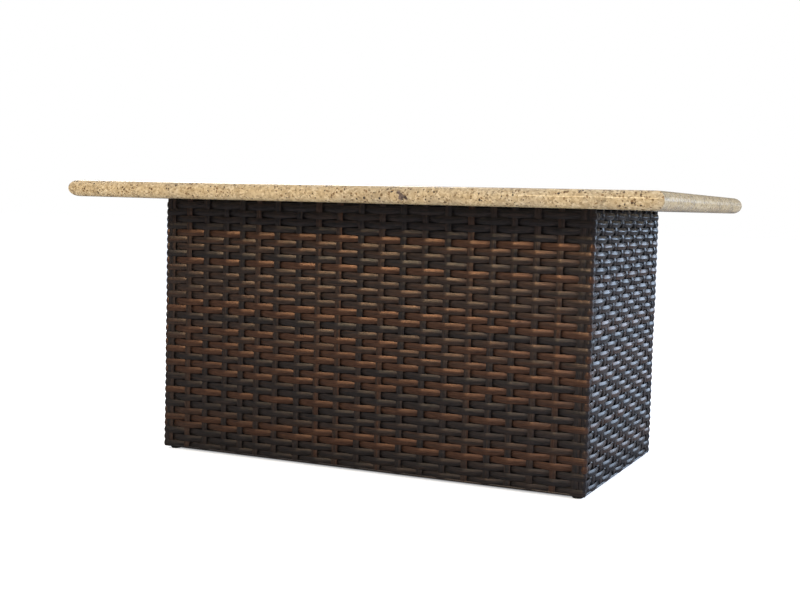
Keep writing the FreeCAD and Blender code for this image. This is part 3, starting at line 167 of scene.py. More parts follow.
world = bpy.data.worlds.new("studio")
bpy.context.scene.world = world
world.use_nodes = True
tree = world.node_tree
tree.nodes.clear()
rays = add_node(tree, "LightPath").outputs
direction = add_node(tree, "TexCoord").outputs["Generated"]
where = add_node(tree, "SeparateXYZ", inputs={0: direction})
mirrored = add_node(tree, "ValToRGB", inputs={"Fac": where.outputs["Z"]},
                    stops=[(0.1, "#423F3E"), (0.3, "#737170"), (0.65, "#F4F9FF")])
soft = add_node(tree, "Background", inputs={"Color": linear("#E2ECFF"), "Strength": SOFT_LIGHT})
mirror = add_node(tree, "Background", inputs={"Color": mirrored.outputs["Color"], "Strength": 1.0})
white = add_node(tree, "Background", inputs={"Color": linear("#FFFFFF"), "Strength": 1.0})
sharp = add_node(tree, "Math", {"operation": "MAXIMUM"},
                 {0: rays["Is Glossy Ray"], 1: rays["Is Transmission Ray"]})
half = add_node(tree, "MixShader", inputs={0: sharp.outputs[0], 1: soft.outputs[0], 2: mirror.outputs[0]})
whole = add_node(tree, "MixShader",
                 inputs={0: rays["Is Camera Ray"], 1: half.outputs[0], 2: white.outputs[0]})
add_node(tree, "OutputWorld", inputs={"Surface": whole.outputs[0]})
print("sky:", world.name)

# %% The lamps
LAMP_AIM = Vector((0, 0, 0.35))


def add_soft_box(name, place, width, height, brightness, colour, mirrored=True):
    """A soft box, turned to the middle of the table; the camera doesn't see it, mirrors do if told so."""
    turn = (Vector(place) - LAMP_AIM).to_track_quat("Z", "Y").to_euler()
    bpy.ops.object.light_add(type="AREA", location=place, rotation=turn)
    lamp = bpy.context.object
    lamp.name = name
    lamp.data.shape = "RECTANGLE"
    lamp.data.size = width
    lamp.data.size_y = height
    lamp.data.energy = brightness * math.pi * width * height
    lamp.data.color = linear(colour)[:3]
    lamp.visible_camera = False
    lamp.visible_glossy = mirrored


# Places and sizes are in metres, and brightness is the power of a square metre divided by pi
add_soft_box("main_box", (-0.5, -4.0, 2.3), 1.3, 0.7, 23.0, "#FFE6B6")
add_soft_box("right_box", (0.9, -4.2, 1.75), 1.2, 0.8, 4.5, "#FFF0E6")
add_soft_box("front_box", (-0.9, -3.5, 2.6), 2.0, 2.0, 2.6, "#FFFAF0", mirrored=False)
add_soft_box("end_box", (4.0, 0.4, 2.4), 2.5, 2.5, 13.0, "#D2E2FF", mirrored=False)
add_soft_box("window_box", (14.2, 24.0, 3.5), 14.5, 5.3, 5.5, "#C4DCF8")
add_soft_box("back_box", (-2.4, 2.4, 3.0), 2.0, 2.0, 8.0, "#FFFFFF")
bpy.context.scene.view_settings.view_transform = "Standard"

# %% [markdown]
# ## Woven resin strands: the finish
# The strands are polyethylene, extruded as flat bands with colour streaked along them, then woven by hand.
# The eye sees long thin streaks and bands of charcoal, walnut and chestnut. The pigment is pearly: a float
# that faces the lamp shines in its own brown, not in white, so the shader is partly metallic.
# A pattern that follows a strand round a corner can't use the table's own x, y and z. So each panel keeps
# where its points were while it was still flat, in an attribute called "unrolled", and the streaks read that.

# %% Resin finishes
PEARL = 0.55
RESIN_SPECULAR, RESIN_IOR = 0.25, 1.5
SEED_SHIFT = (7.3, 3.1, 5.7)
ROUGHNESS_RANGE = 0.06
LINE_DEPTH = 0.4 * MM


def resin_strand(name, stretch, smoothest, ridges, warmth):
    """Streaked polyethylene; stretch is the length of a streak in mm along, in and up on the flat panel."""
    material = bpy.data.materials.new(name)
    material.use_nodes = True
    tree = material.node_tree
    shader = tree.nodes["Principled BSDF"]
    tone = add_node(tree, "Attribute", {"attribute_name": "tone"}).outputs["Fac"]
    seed = add_node(tree, "Attribute", {"attribute_name": "seed"}).outputs["Fac"]
    flat = add_node(tree, "Attribute", {"attribute_name": "unrolled"}).outputs["Vector"]
    shift = add_node(tree, "CombineXYZ", inputs={0: seed, 1: seed, 2: seed})
    moved = add_node(tree, "VectorMath", {"operation": "MULTIPLY_ADD"},
                     {0: shift.outputs[0], 1: SEED_SHIFT, 2: flat})
    scaled = add_node(tree, "Mapping",
                      inputs={"Vector": moved.outputs[0], "Scale": [1 / (s * MM) for s in stretch]})
    streak = add_node(tree, "TexNoise", inputs={"Vector": scaled.outputs[0], "Scale": 1.0, "Detail": 3.0})
    drift = add_node(tree, "TexNoise", inputs={"Vector": scaled.outputs[0], "Scale": 0.2, "Detail": 1.0})
    swing = add_node(tree, "MapRange", inputs={0: drift.outputs["Fac"], 1: 0.3, 2: 0.7, 3: -0.3, 4: 0.3})
    # A warmth under 1 pulls every tone towards charcoal; on the ends that is painted light
    tone = add_node(tree, "Math", {"operation": "MULTIPLY_ADD", "use_clamp": True},
                    {0: tone, 1: warmth, 2: swing.outputs[0]}).outputs[0]
    dull = add_node(tree, "ValToRGB", inputs={"Fac": tone},
                    stops=[(0.0, "#272728"), (0.5, "#342C28"), (1.0, "#442F26")])
    bright = add_node(tree, "ValToRGB", inputs={"Fac": tone},
                      stops=[(0.0, "#3D3634"), (0.5, "#4C3E37"), (1.0, "#5C4335")])
    share = add_node(tree, "MapRange", inputs={0: streak.outputs["Fac"], 1: 0.32, 2: 0.68})
    colour = add_node(tree, "Mix", {"data_type": "RGBA"},
                      {0: share.outputs[0], 6: dull.outputs["Color"], 7: bright.outputs["Color"]})
    tree.links.new(colour.outputs[2], shader.inputs["Base Color"])
    rough = add_node(tree, "MapRange", inputs={0: streak.outputs["Fac"], 1: 0.3, 2: 0.7,
                                               3: smoothest + ROUGHNESS_RANGE, 4: smoothest})
    tree.links.new(rough.outputs[0], shader.inputs["Roughness"])
    bump = add_node(tree, "Bump",
                    inputs={"Height": streak.outputs["Fac"], "Strength": ridges, "Distance": LINE_DEPTH})
    tree.links.new(bump.outputs[0], shader.inputs["Normal"])
    shader.inputs["Metallic"].default_value = PEARL
    shader.inputs["Specular IOR Level"].default_value = RESIN_SPECULAR
    shader.inputs["IOR"].default_value = RESIN_IOR
    return material


# Real extrusion lines are about 0.3 mm apart, too fine to show here, so they are drawn 1.6 mm apart.
ALONG_ROW, UPRIGHT = (70, 3, 1.6), (1.6, 3, 70)
# The front is satin. The ends shine more sharply, so they are smoother. They also show less of their brown,
# and that is painted: their tones are pulled towards charcoal for the cool light that falls on them.
SATIN, GLOSSY_PAINTED_COOL = (0.32, 0.12, 1.0), (0.22, 0.05, 0.6)
satin = (resin_strand("extruded polyethylene, streaked along the row", ALONG_ROW, *SATIN),
         resin_strand("extruded polyethylene, streaked upright", UPRIGHT, *SATIN))
glossy = (resin_strand("extruded polyethylene, glossy, streaked along the row", ALONG_ROW, *GLOSSY_PAINTED_COOL),
          resin_strand("extruded polyethylene, glossy, streaked upright", UPRIGHT, *GLOSSY_PAINTED_COOL))
print("resin:", [material.name for material in satin + glossy])

# %% [markdown]
# ## Woven resin strands: one strand
# A weaver is a crowned band 14.2 mm wide that runs over one upright stake and under the next. In the
# photograph its floats on the front are tents: a tight bend on each stake and a straight slope between.
# Those on the end are humps, with a long gentle back, a steep dive and a fuller crown. A strand could be
# a bevelled curve, but a band with a flat back needs its own section, so one closed section is drawn once
# and extruded from stake to stake, a little narrower where it dives under.
# The strands are made lying flat along x, with -y to the outside; the panel is bent to the base afterwards.

# %% Strand sizes
ROWS = 36
FIRST_ROW, ROW_PITCH = 14.0 * MM, 15.5 * MM
USUAL_PITCH = 49 * MM
WEAVER_WIDTH, WEAVER_CROWN, WEAVER_BACK = 14.2 * MM, 1.7 * MM, 0.8 * MM
FULL_CROWN = 2.5 * MM
STAKE_WIDTH, STAKE_CROWN, STAKE_BACK = 14.0 * MM, 0.9 * MM, 0.9 * MM
# How far out of the middle of the skin a weaver lies: over a stake, under it, round a post, at a door's edge
OVER, UNDER = 2.2 * MM, -6.8 * MM
AT_POST, AT_EDGE = 3.6 * MM, -1.0 * MM
POST_WIDTH, POST_OUT = 18.0 * MM, 2.2 * MM
STAKE_OUT, STAKE_IN, STAKE_FLAT = 1.5 * MM, -0.8 * MM, 3 * MM
# A weaver's width where it is deepest, as a share, and how soon it regains its full width
NARROWEST, WIDENING = 0.80, 2.5
# A float from its crest on one stake (0) to its lowest place behind the next (1): how far along, how far down
TENT = ((0.0, 0.0), (0.06, 0.014), (0.12, 0.055), (0.35, 0.25), (0.60, 0.46),
        (0.73, 0.61), (0.90, 0.875), (0.96, 0.97))
HUMP = ((0.0, 0.0), (0.15, 0.02), (0.3, 0.08), (0.45, 0.18), (0.60, 0.31),
        (0.70, 0.45), (0.80, 0.70), (0.88, 0.91), (0.96, 0.99))
# A strand's section: places across it, from its lower edge (-1) to its upper edge (1), and back again
SECTION = [(side, "front") for side in (-1, -0.70, -0.30, 0.04, 0.38, 0.74, 1)]
SECTION += [(0.5, "back"), (-0.5, "back")]
RIDGE, ARCH = -0.12, 1.3


def deselect():
    """Operators act on whatever is selected, and the loaded parts start out selected."""
    bpy.ops.object.select_all(action="DESELECT")


def fullness(side):
    """Height of the section at a place across it, -1 to 1: a soft ridge just under the middle."""
    reach = 1 - RIDGE if side > RIDGE else 1 + RIDGE
    return 1 - (abs(side - RIDGE) / reach) ** ARCH


(start, high), (end, low) = TENT[2], TENT[4]
slope = (low - high) * (OVER - UNDER) / ((end - start) * USUAL_PITCH)
print("slope of a float on a 49 mm pitch:", round(math.degrees(math.atan(slope)), 1))


# %% Extrude one strand
def add_strand(line, across, width, crown, back):
    """A closed band along line, a list of (x, y, z, width share); across is the axis of its width."""
    deselect()
    bpy.ops.mesh.primitive_circle_add(vertices=len(SECTION), radius=1, fill_type="NGON")
    strand = bpy.context.object
    for corner, (side, face) in zip(strand.data.vertices, SECTION):
        depth = fullness(side) * (back if face == "back" else -crown)
        corner.co = (0, depth, side) if across == "z" else (side, depth, 0)
    bpy.ops.object.mode_set(mode="EDIT")
    bpy.ops.mesh.select_all(action="SELECT")
    half = width / 2 * line[0][3]
    sideways = (1, 1, half) if across == "z" else (half, 1, 1)
    bpy.ops.transform.resize(value=sideways, center_override=(0, 0, 0))
    bpy.ops.transform.translate(value=line[0][:3])
    for here, there in zip(line, line[1:]):
        step = [b - a for a, b in zip(here[:3], there[:3])]
        bpy.ops.mesh.extrude_region_move(TRANSFORM_OT_translate={"value": step})
        if there[3] != here[3]:
            narrow = there[3] / here[3]
            value = (1, 1, narrow) if across == "z" else (narrow, 1, 1)
            bpy.ops.transform.resize(value=value, center_override=there[:3])
    bpy.ops.mesh.select_all(action="SELECT")
    bpy.ops.mesh.normals_make_consistent(inside=False)
    bpy.ops.object.mode_set(mode="OBJECT")
    return strand


print("section:", WEAVER_WIDTH / MM, "x", (WEAVER_CROWN + WEAVER_BACK) / MM, "mm")


# %% Lines that strands follow
def weaver_line(knots, parity, droop, fall):
    """Where a weaver runs; knots are (distance along, stake number), and all rows agree at a post or edge."""
    def lift(number):
        if number in ("post", "edge"):
            return AT_POST if number == "post" else AT_EDGE
        return OVER if (number + parity) % 2 == 0 else UNDER

    def point(along, height):
        rise = (height - UNDER) / (OVER - UNDER)
        spread = 1 - (1 - min(rise, 1)) ** WIDENING
        return (along, -height, -droop * rise, NARROWEST + (1 - NARROWEST) * spread)

    climb = [(1 - along, 1 - down) for along, down in reversed(fall[1:])]
    line = []
    for (start, first), (end, second) in zip(knots, knots[1:]):
        high, low = lift(first), lift(second)
        line.append(point(start, high))
        for along, down in fall[1:] if high >= low else climb:
            line.append(point(start + (end - start) * along, high + (low - high) * down))
    return line + [point(knots[-1][0], lift(knots[-1][1]))]


def stretch_of(line, start, end, axis):
    """The part of a line between two places on an axis, 0 along or 2 up, cut square at both."""
    kept = []
    for here, there in zip(line, line[1:]):
        for stop in (start, end):
            if here[axis] < stop < there[axis]:
                share = (stop - here[axis]) / (there[axis] - here[axis])
                kept.append(tuple(a + (b - a) * share for a, b in zip(here, there)))
        if start <= there[axis] <= end:
            kept.append(there)
    return [line[0]] + kept if start <= line[0][axis] else kept


def stake_line(number, foot, head):
    """Where a stake runs: pushed in behind each weaver that passes over it, out where one dives under."""
    line = [(0, 0, foot, 1.0)]
    for row in range(ROWS):
        middle = FIRST_ROW + row * ROW_PITCH
        out = STAKE_IN if (number + row) % 2 == 0 else STAKE_OUT
        line += [(0, -out, middle - STAKE_FLAT, 1.0), (0, -out, middle + STAKE_FLAT, 1.0)]
    return line + [(0, 0, head, 1.0)]


def fine_steps(start, end, step):
    """Even steps from start to end, close enough to follow a rounded corner."""
    count = math.ceil((end - start) / step)
    return [start + (end - start) * i / count for i in range(count + 1)]


print("rows:", ROWS, "from", FIRST_ROW / MM, "to", round((FIRST_ROW + (ROWS - 1) * ROW_PITCH) / MM, 1), "mm")

# %% [markdown]
# ## Woven resin strands: one panel
# A panel is its stakes and its rows. Neighbouring rows are the same strand half a pattern on, so two
# strands are modelled and copied, with two slacker ones for the top rows, which sag in the photograph.
# Each copy gets a tone and a seed of its own. A wide post strand fills each rounded corner, a binding
# closes the foot, and a dark sheet behind the strands is painted shade, so that no daylight shows between
# them.
# The flat panel is then bent round the base along a path by a Curve modifier, and a Displace modifier
# with a slow cloud pattern gives the unevenness of hand work.

# %% Copy, mark and join
TONES = {"D": 0.0, "M": 0.5, "C": 1.0}
STAKE_TONES = {"D": 0.1, "M": 0.35, "C": 0.6}
# The rows' colours from the floor up: dark charcoal, middle walnut or chestnut
# The top rows, which lie in shade under the slab, are all given the darkest tone
ROW_TONES = "DDDCCMDDCDDCCDCCMCMDCCMMMMMCDMMCDDDD"
LOOSE_ROWS = 3
DROOP, LOOSE_DROOP, LOOSE_LIFT = 0.8 * MM, 2.6 * MM, 1.2 * MM
PLAIN_SEED = 0.5
dice = random.Random(4)
row_seeds = [dice.random() for row in range(ROWS)]


def copy_of(piece, move, tone, seed, material):
    """A copy with a mesh of its own, moved in its mesh and marked with its tone, its seed and its finish."""
    twin = piece.copy()
    twin.data = piece.data.copy()
    twin.data.transform(Matrix.Translation(move))
    twin.data.materials.append(material)
    for name, value in (("tone", tone), ("seed", seed)):
        mark = twin.data.attributes.new(name, "FLOAT", "POINT")
        mark.data.foreach_set("value", [value] * len(twin.data.vertices))
    bpy.context.scene.collection.objects.link(twin)
    twin.vertex_groups.new(name="loose").add(range(len(twin.data.vertices)), 1.0, "REPLACE")
    return twin


def join(pieces, name):
    """Join pieces into one object and name it."""
    deselect()
    for piece in pieces:
        piece.select_set(True)
    bpy.context.view_layer.objects.active = pieces[0]
    bpy.ops.object.join()
    whole = bpy.context.object
    whole.name = whole.data.name = name
    return whole


print("tones of the rows:", {tone: ROW_TONES.count(tone) for tone in TONES})

# %% Bend a panel to the base
CORNER_STEPS = 12
CLOUD_SIZE, UNEVENNESS = 0.10, 2.4 * MM
SMOOTH_ANGLE = math.radians(50)


def rounded_path(corners):
    """A line of points through square corners, each (x, y, radius) in mm, with the corners rounded."""
    flat = [Vector((x, y)) * MM for x, y, radius in corners]
    points = [flat[0]]
    for i in range(1, len(flat) - 1):
        arrive, leave = (flat[i] - flat[i - 1]).normalized(), (flat[i + 1] - flat[i]).normalized()
        radius = corners[i][2] * MM
        middle = flat[i] + (leave - arrive) * radius
        for step in range(CORNER_STEPS + 1):
            turn = math.pi / 2 * step / CORNER_STEPS
            points.append(middle + radius * (arrive * math.sin(turn) - leave * math.cos(turn)))
    return points + [flat[-1]]


def run_length(corners, stop):
    """Distance along the rounded path to a point on the leg after corner number stop, from its start."""
    cut = 2 - math.pi / 2
    flat = [Vector(c[:2]) for c in corners]
    legs = sum((b - a).length for a, b in zip(flat[:stop], flat[1:stop + 1]))
    return legs - cut * sum(c[2] for c in corners[1:stop + 1])


def corner_middle(corners, number):
    """Distance along the rounded path to the middle of a rounded corner."""
    return run_length(corners, number) + (1 - math.pi / 4) * corners[number][2]


clouds = bpy.data.textures.new("slow unevenness of hand weaving", "CLOUDS")
clouds.cloud_type = "COLOR"
clouds.noise_scale = CLOUD_SIZE


def bend_round(panel, corners):
    """Wrap a flat panel along the path, add the unevenness and apply both."""
    points = rounded_path(corners)
    curve = bpy.data.curves.new("path", "CURVE")
    curve.dimensions = "3D"
    curve.twist_mode = "Z_UP"
    spline = curve.splines.new("POLY")
    spline.points.add(len(points) - 1)
    for knot, point in zip(spline.points, points):
        knot.co = (point.x, point.y, 0, 1)
    path = bpy.data.objects.new("path", curve)
    bpy.context.scene.collection.objects.link(path)
    wrap = panel.modifiers.new("wrap", "CURVE")
    wrap.object = path
    wrap.deform_axis = "POS_X"
    uneven = panel.modifiers.new("uneven", "DISPLACE")
    uneven.texture = clouds
    uneven.texture_coords = "LOCAL"
    uneven.direction = "RGB_TO_XYZ"
    uneven.strength = UNEVENNESS
    uneven.vertex_group = "loose"
    bpy.ops.object.modifier_apply(modifier=wrap.name)
    bpy.ops.object.modifier_apply(modifier=uneven.name)
    bpy.data.objects.remove(path)
    bpy.ops.object.shade_smooth_by_angle(angle=SMOOTH_ANGLE)


print("paths are bent with", CORNER_STEPS, "steps to a corner")

# %% A dark sheet behind the strands, painted shade
SHADE_SHEET_DEPTH, SHADE_SHEET_THICKNESS = 9.2 * MM, 0.4 * MM
SHADE_SHEET_STEP = 5 * MM
SPECKLE, SPECKLE_DEPTH = 4 * MM, 0.2 * MM

# A matt, nearly black sheet: painted shade, so that between the strands the eye sees only darkness
shade_sheet_finish = bpy.data.materials.new("matt black sheet, painted shade between the strands")
shade_sheet_finish.use_nodes = True
tree = shade_sheet_finish.node_tree
shader = tree.nodes["Principled BSDF"]
place = add_node(tree, "TexCoord").outputs["Object"]
speckle = add_node(tree, "TexNoise", inputs={"Vector": place, "Scale": 1 / SPECKLE, "Detail": 3.0})
tint = add_node(tree, "ValToRGB", inputs={"Fac": speckle.outputs["Fac"]},
                stops=[(0.3, "#130F0E"), (0.7, "#1E1816")])
tree.links.new(tint.outputs["Color"], shader.inputs["Base Color"])
rough = add_node(tree, "MapRange", inputs={0: speckle.outputs["Fac"], 3: 0.75, 4: 0.95})
tree.links.new(rough.outputs[0], shader.inputs["Roughness"])
bump = add_node(tree, "Bump",
                inputs={"Height": speckle.outputs["Fac"], "Strength": 0.3, "Distance": SPECKLE_DEPTH})
tree.links.new(bump.outputs[0], shader.inputs["Normal"])


def add_shade_sheet(start, end, foot, head, window):
    """A flat dark sheet of painted shade behind a panel from start to end, with the window cut out of it."""
    length = end - start
    columns, rows = max(8, int(length / SHADE_SHEET_STEP)), 40 if window else 4
    deselect()
    bpy.ops.mesh.primitive_grid_add(x_subdivisions=columns, y_subdivisions=rows, size=1)
    sheet = bpy.context.object
    bpy.ops.object.mode_set(mode="EDIT")
    bpy.ops.mesh.select_all(action="SELECT")
    bpy.ops.transform.resize(value=(length, head - foot, 1), center_override=(0, 0, 0))
    bpy.ops.transform.translate(value=((start + end) / 2, (foot + head) / 2, 0))
    bpy.ops.mesh.select_all(action="DESELECT")
    bpy.ops.object.mode_set(mode="OBJECT")
    sheet.data.transform(Matrix.Rotation(math.pi / 2, 4, "X"))
    sheet.data.transform(Matrix.Translation((0, SHADE_SHEET_DEPTH, 0)))
    if window:
        for face in sheet.data.polygons:
            face.select = window[0] < face.center.x < window[1] and window[2] < face.center.z < window[3]
        bpy.ops.object.mode_set(mode="EDIT")
        bpy.ops.mesh.delete(type="FACE")
        bpy.ops.object.mode_set(mode="OBJECT")
    wall = sheet.modifiers.new("wall", "SOLIDIFY")
    wall.thickness = SHADE_SHEET_THICKNESS
    bpy.ops.object.modifier_apply(modifier=wall.name)
    sheet.data.materials.append(shade_sheet_finish)
    return sheet


print("shade sheet:", SHADE_SHEET_THICKNESS / MM, "mm")

# %% A binding along the foot
BINDING_WIDTH, BINDING_CROWN, BINDING_OUT = 4.0 * MM, 1.2 * MM, 1.4 * MM
BINDING_STEP = 3 * MM
SILL_BACK = 15.0 * MM


def add_binding(length, inner, foot, resin):
    """A thin strand along the foot, and a sill that closes the foot of a flat panel back to its dark sheet of
    painted shade.
    """
    middle = foot + BINDING_WIDTH / 2
    edge = [(along, -BINDING_OUT, middle, 1.0) for along in fine_steps(0, length, BINDING_STEP)]
    # The sill has no points between its ends, so it stays straight and doesn't follow a panel's corners
    sill = [(along, 0, middle, 1.0) for along in (inner[0], inner[-1])]
    pieces = []
    for line, back, seed in ((edge, BINDING_CROWN, dice.random()), (sill, SILL_BACK, PLAIN_SEED)):
        model = add_strand(line, "z", BINDING_WIDTH, BINDING_CROWN, back)
        piece = copy_of(model, (0, 0, 0), TONES["D"], seed, resin)
        piece.vertex_groups.clear()
        bpy.data.objects.remove(model)
        pieces.append(piece)
    return pieces


print("binding:", BINDING_WIDTH / MM, "mm wide")

# %% Weave a panel
PANEL_FOOT, PANEL_HEAD = 6 * MM, 568.8 * MM
POST_STEP = 20 * MM


def weave(name, node, body, corners, knots, stakes, tones, resin=satin, fall=TENT, crown=WEAVER_CROWN,
          foot=PANEL_FOOT, head=PANEL_HEAD, window=None):
    """One woven panel. knots are (mm along the path, stake number); window is a gap behind a cover plate."""
    knots = [(along * MM, number) for along, number in knots]
    length = knots[-1][0]
    window = window and [edge * MM for edge in window]
    models, pieces = {}, []
    for row in range(ROWS):
        loose = row >= ROWS - LOOSE_ROWS
        z = FIRST_ROW + row * ROW_PITCH + (LOOSE_LIFT if loose else 0)
        stretches = [(0, length)]
        if window and window[2] < z + WEAVER_WIDTH / 2 and z - WEAVER_WIDTH / 2 < window[3]:
            stretches = [(0, window[0]), (window[1], length)]
        for stretch in stretches:
            kind = (row % 2, loose, stretch)
            if kind not in models:
                line = weaver_line(knots, row % 2, LOOSE_DROOP if loose else DROOP, fall)
                line = stretch_of(line, *stretch, 0)
                models[kind] = add_strand(line, "z", WEAVER_WIDTH, crown, WEAVER_BACK)
            pieces.append(copy_of(models[kind], (0, 0, z), TONES[ROW_TONES[row]], row_seeds[row], resin[0]))
    for (along, number), tone in zip([knot for knot in knots if knot[1] in stakes], tones):
        stretches = [(foot, head)]
        if window and window[0] < along + STAKE_WIDTH / 2 and along - STAKE_WIDTH / 2 < window[1]:
            stretches = [(foot, window[2]), (window[3], head)]
        for stretch in stretches:
            kind = (number % 2, stretch)
            if kind not in models:
                line = stretch_of(stake_line(number, foot, head), *stretch, 2)
                models[kind] = add_strand(line, "x", STAKE_WIDTH, STAKE_CROWN, STAKE_BACK)
            pieces.append(copy_of(models[kind], (along, 0, 0), STAKE_TONES[tone], dice.random(), resin[1]))
    for along, number in knots:
        if number == "post":
            line = [(along, -POST_OUT, z, 1.0) for z in fine_steps(foot, head, POST_STEP)]
            models[along] = add_strand(line, "x", POST_WIDTH, STAKE_CROWN, STAKE_BACK)
            pieces.append(copy_of(models[along], (0, 0, 0), STAKE_TONES["D"], PLAIN_SEED, resin[1]))
    for model in models.values():
        bpy.data.objects.remove(model)
    inner = [along for along, number in knots if number not in ("post", "edge")]
    pieces += add_binding(length, inner, foot, resin[0])
    # The dark sheet behind the strands is painted shade
    panel = join(pieces + [add_shade_sheet(inner[0], inner[-1], foot, head, window)], name)
    flat = panel.data.attributes.new("unrolled", "FLOAT_VECTOR", "POINT")
    flat.data.foreach_set("vector", [c for v in panel.data.vertices for c in v.co])
    bend_round(panel, corners)
    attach(panel, body)
    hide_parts(node)
    print(name, "strands:", len(pieces), "triangles:", sum(len(p.vertices) - 2 for p in panel.data.polygons))
    return panel


print("a panel stands from", PANEL_FOOT / MM, "to", PANEL_HEAD / MM, "mm")

# %% [markdown]
# ## Woven resin strands: the whole base
# The base is six panels: the front, two ends, two at the back and the door between them. A weaver goes on
# from one panel to the next, so stakes are numbered right round the base and seams at corners lie on stakes.
# Where the stakes of the front and the right end stand was measured in the photograph, because hand work
# is uneven; the hidden sides take an even pitch. Sizes in these cells are in mm.

# %% The front panel
WALL_X, WALL_Y, HALF_SKIN = 493, 263, 4
LEFT_SEAM, RIGHT_SEAM = 231, 249
CORNER_RADIUS = 2.5
FRONT_STAKES = (17, 61, 107, 158, 200, 241, 288, 342, 390, 439, 490,
                539, 588, 637, 687, 737, 785, 830, 877, 925, 972)
FRONT_TONES = "MCDDDMDDCCDCDDDCDDMCD"

front_corners = [(-WALL_X, -LEFT_SEAM, 0), (-WALL_X, -WALL_Y, CORNER_RADIUS),
                 (WALL_X, -WALL_Y, CORNER_RADIUS), (WALL_X, -RIGHT_SEAM, 0)]
front_start = run_length(front_corners, 1) - HALF_SKIN
front_knots = [(0, -1), (corner_middle(front_corners, 1), "post")]
front_knots += [(front_start + u, i) for i, u in enumerate(FRONT_STAKES)]
front_knots += [(corner_middle(front_corners, 2), "post"), (run_length(front_corners, 3), 21)]
weave("woven_front", "weave_front", "base", front_corners, front_knots, range(21), FRONT_TONES)

# %% The two ends
RIGHT_STAKES = (18, 70, 122, 172, 226, 273, 324, 373, 428, 477, 516)
LEFT_PITCH = 2 * LEFT_SEAM / 10

right_corners = [(WALL_X, -RIGHT_SEAM, 0), (WALL_X, RIGHT_SEAM, 0)]
right_knots = [(v - RIGHT_STAKES[0], 21 + i) for i, v in enumerate(RIGHT_STAKES)]
# The ends' tones are painted cooler, for the cool light that falls on them
weave("woven_right_end", "weave_right_end", "base", right_corners, right_knots, range(21, 32), "DDMDDCDDDMD",
      resin=glossy, fall=HUMP, crown=FULL_CROWN)
left_corners = [(-WALL_X, LEFT_SEAM, 0), (-WALL_X, -LEFT_SEAM, 0)]
left_knots = [(LEFT_PITCH * i, -11 + i) for i in range(11)]
weave("woven_left_end", "weave_left_end", "base", left_corners, left_knots, range(-11, 0), "DMDDCDDMDDD",
      resin=glossy, fall=HUMP, crown=FULL_CROWN)

# %% The back and the door
EDGE_Y, EDGE_RADIUS = 258.5, 4
CONTROL_EDGE, HINGE_EDGE = -32, -428
DOOR_LATCH_EDGE, DOOR_HINGE_EDGE = -44, -416
CONTROL_FIRST, CONTROL_PITCH = 471, 49
HINGE_SIDE_STAKES = (13, 45)
DOOR_FIRST, DOOR_PITCH = 13, 49.43
DOOR_FOOT, DOOR_HEAD = 8 * MM, 565 * MM
# The opening behind the control plate, which overlaps it all round
WINDOW_LEFT, WINDOW_RIGHT, WINDOW_FOOT, WINDOW_HEAD = 295, 155, 394, 472

control_corners = [(WALL_X, RIGHT_SEAM, 0), (WALL_X, WALL_Y, CORNER_RADIUS),
                   (CONTROL_EDGE, WALL_Y, EDGE_RADIUS), (CONTROL_EDGE, EDGE_Y, 0)]
control_start = run_length(control_corners, 1)
control_x = [CONTROL_FIRST - CONTROL_PITCH * i for i in range(11)]
control_knots = [(0, 31), (corner_middle(control_corners, 1), "post")]
control_knots += [(control_start + WALL_X - x, 32 + i) for i, x in enumerate(control_x)]
control_knots += [(run_length(control_corners, 3), "edge")]
plate_window = (control_start + WALL_X - WINDOW_LEFT, control_start + WALL_X - WINDOW_RIGHT,
                WINDOW_FOOT, WINDOW_HEAD)
weave("woven_back_control_side", "weave_back_control_side", "base", control_corners, control_knots,
      range(32, 43), "DMDDCDDDMDD", window=plate_window)

hinge_corners = [(HINGE_EDGE, EDGE_Y, 0), (HINGE_EDGE, WALL_Y, EDGE_RADIUS),
                 (-WALL_X, WALL_Y, CORNER_RADIUS), (-WALL_X, LEFT_SEAM, 0)]
hinge_start = run_length(hinge_corners, 1)
hinge_knots = [(0, "edge")]
hinge_knots += [(hinge_start + u, -13 + i) for i, u in enumerate(HINGE_SIDE_STAKES)]
hinge_knots += [(corner_middle(hinge_corners, 2), "post"), (run_length(hinge_corners, 3), -11)]
weave("woven_back_hinge_side", "weave_back_hinge_side", "base", hinge_corners, hinge_knots, (-13, -12), "DM")

door_corners = [(DOOR_LATCH_EDGE, EDGE_Y, 0), (DOOR_LATCH_EDGE, WALL_Y, EDGE_RADIUS),
                (DOOR_HINGE_EDGE, WALL_Y, EDGE_RADIUS), (DOOR_HINGE_EDGE, EDGE_Y, 0)]
door_start = run_length(door_corners, 1)
door_knots = [(0, "edge")]
door_knots += [(door_start + DOOR_FIRST + DOOR_PITCH * i, 43 + i) for i in range(8)]
door_knots += [(run_length(door_corners, 3), "edge")]
weave("woven_door", "weave_door", "door", door_corners, door_knots, range(43, 51), "DDMDCDDM",
      foot=DOOR_FOOT, head=DOOR_HEAD)

# %% [markdown]
# ## Granite
# The slab is a golden granite, sawn, rounded on every edge and polished. The eye sees grains about 4 mm
# across in cream, honey and grey, dark mica flecks of 2 to 6 mm in loose flocks, and a clear polish.
# The slab's own shape is right, so it stays, and only its finish is made here.

# %% Polished granite
GRAIN, FLECK = 3.8 * MM, 5.5 * MM
RIPPLE, RIPPLE_REACH = 7 * MM, 6 * MM
DRIFT, FLOCK = 60 * MM, 50 * MM
DRIFT_SHARE, LARGEST_FLECK = 0.35, 0.56
PIT_DEPTH = 0.1 * MM
STONE_SPECULAR, STONE_IOR = 0.25, 1.5
CRYSTAL_PLACE, CRYSTAL_SIZE = (0.163, -0.388, 0.599), (0.013, 0.03, 0.007)
CRYSTAL_TURN = (0, math.radians(40), 0)
SHAKE, SHAKE_REACH = 11 * MM, 30 * MM

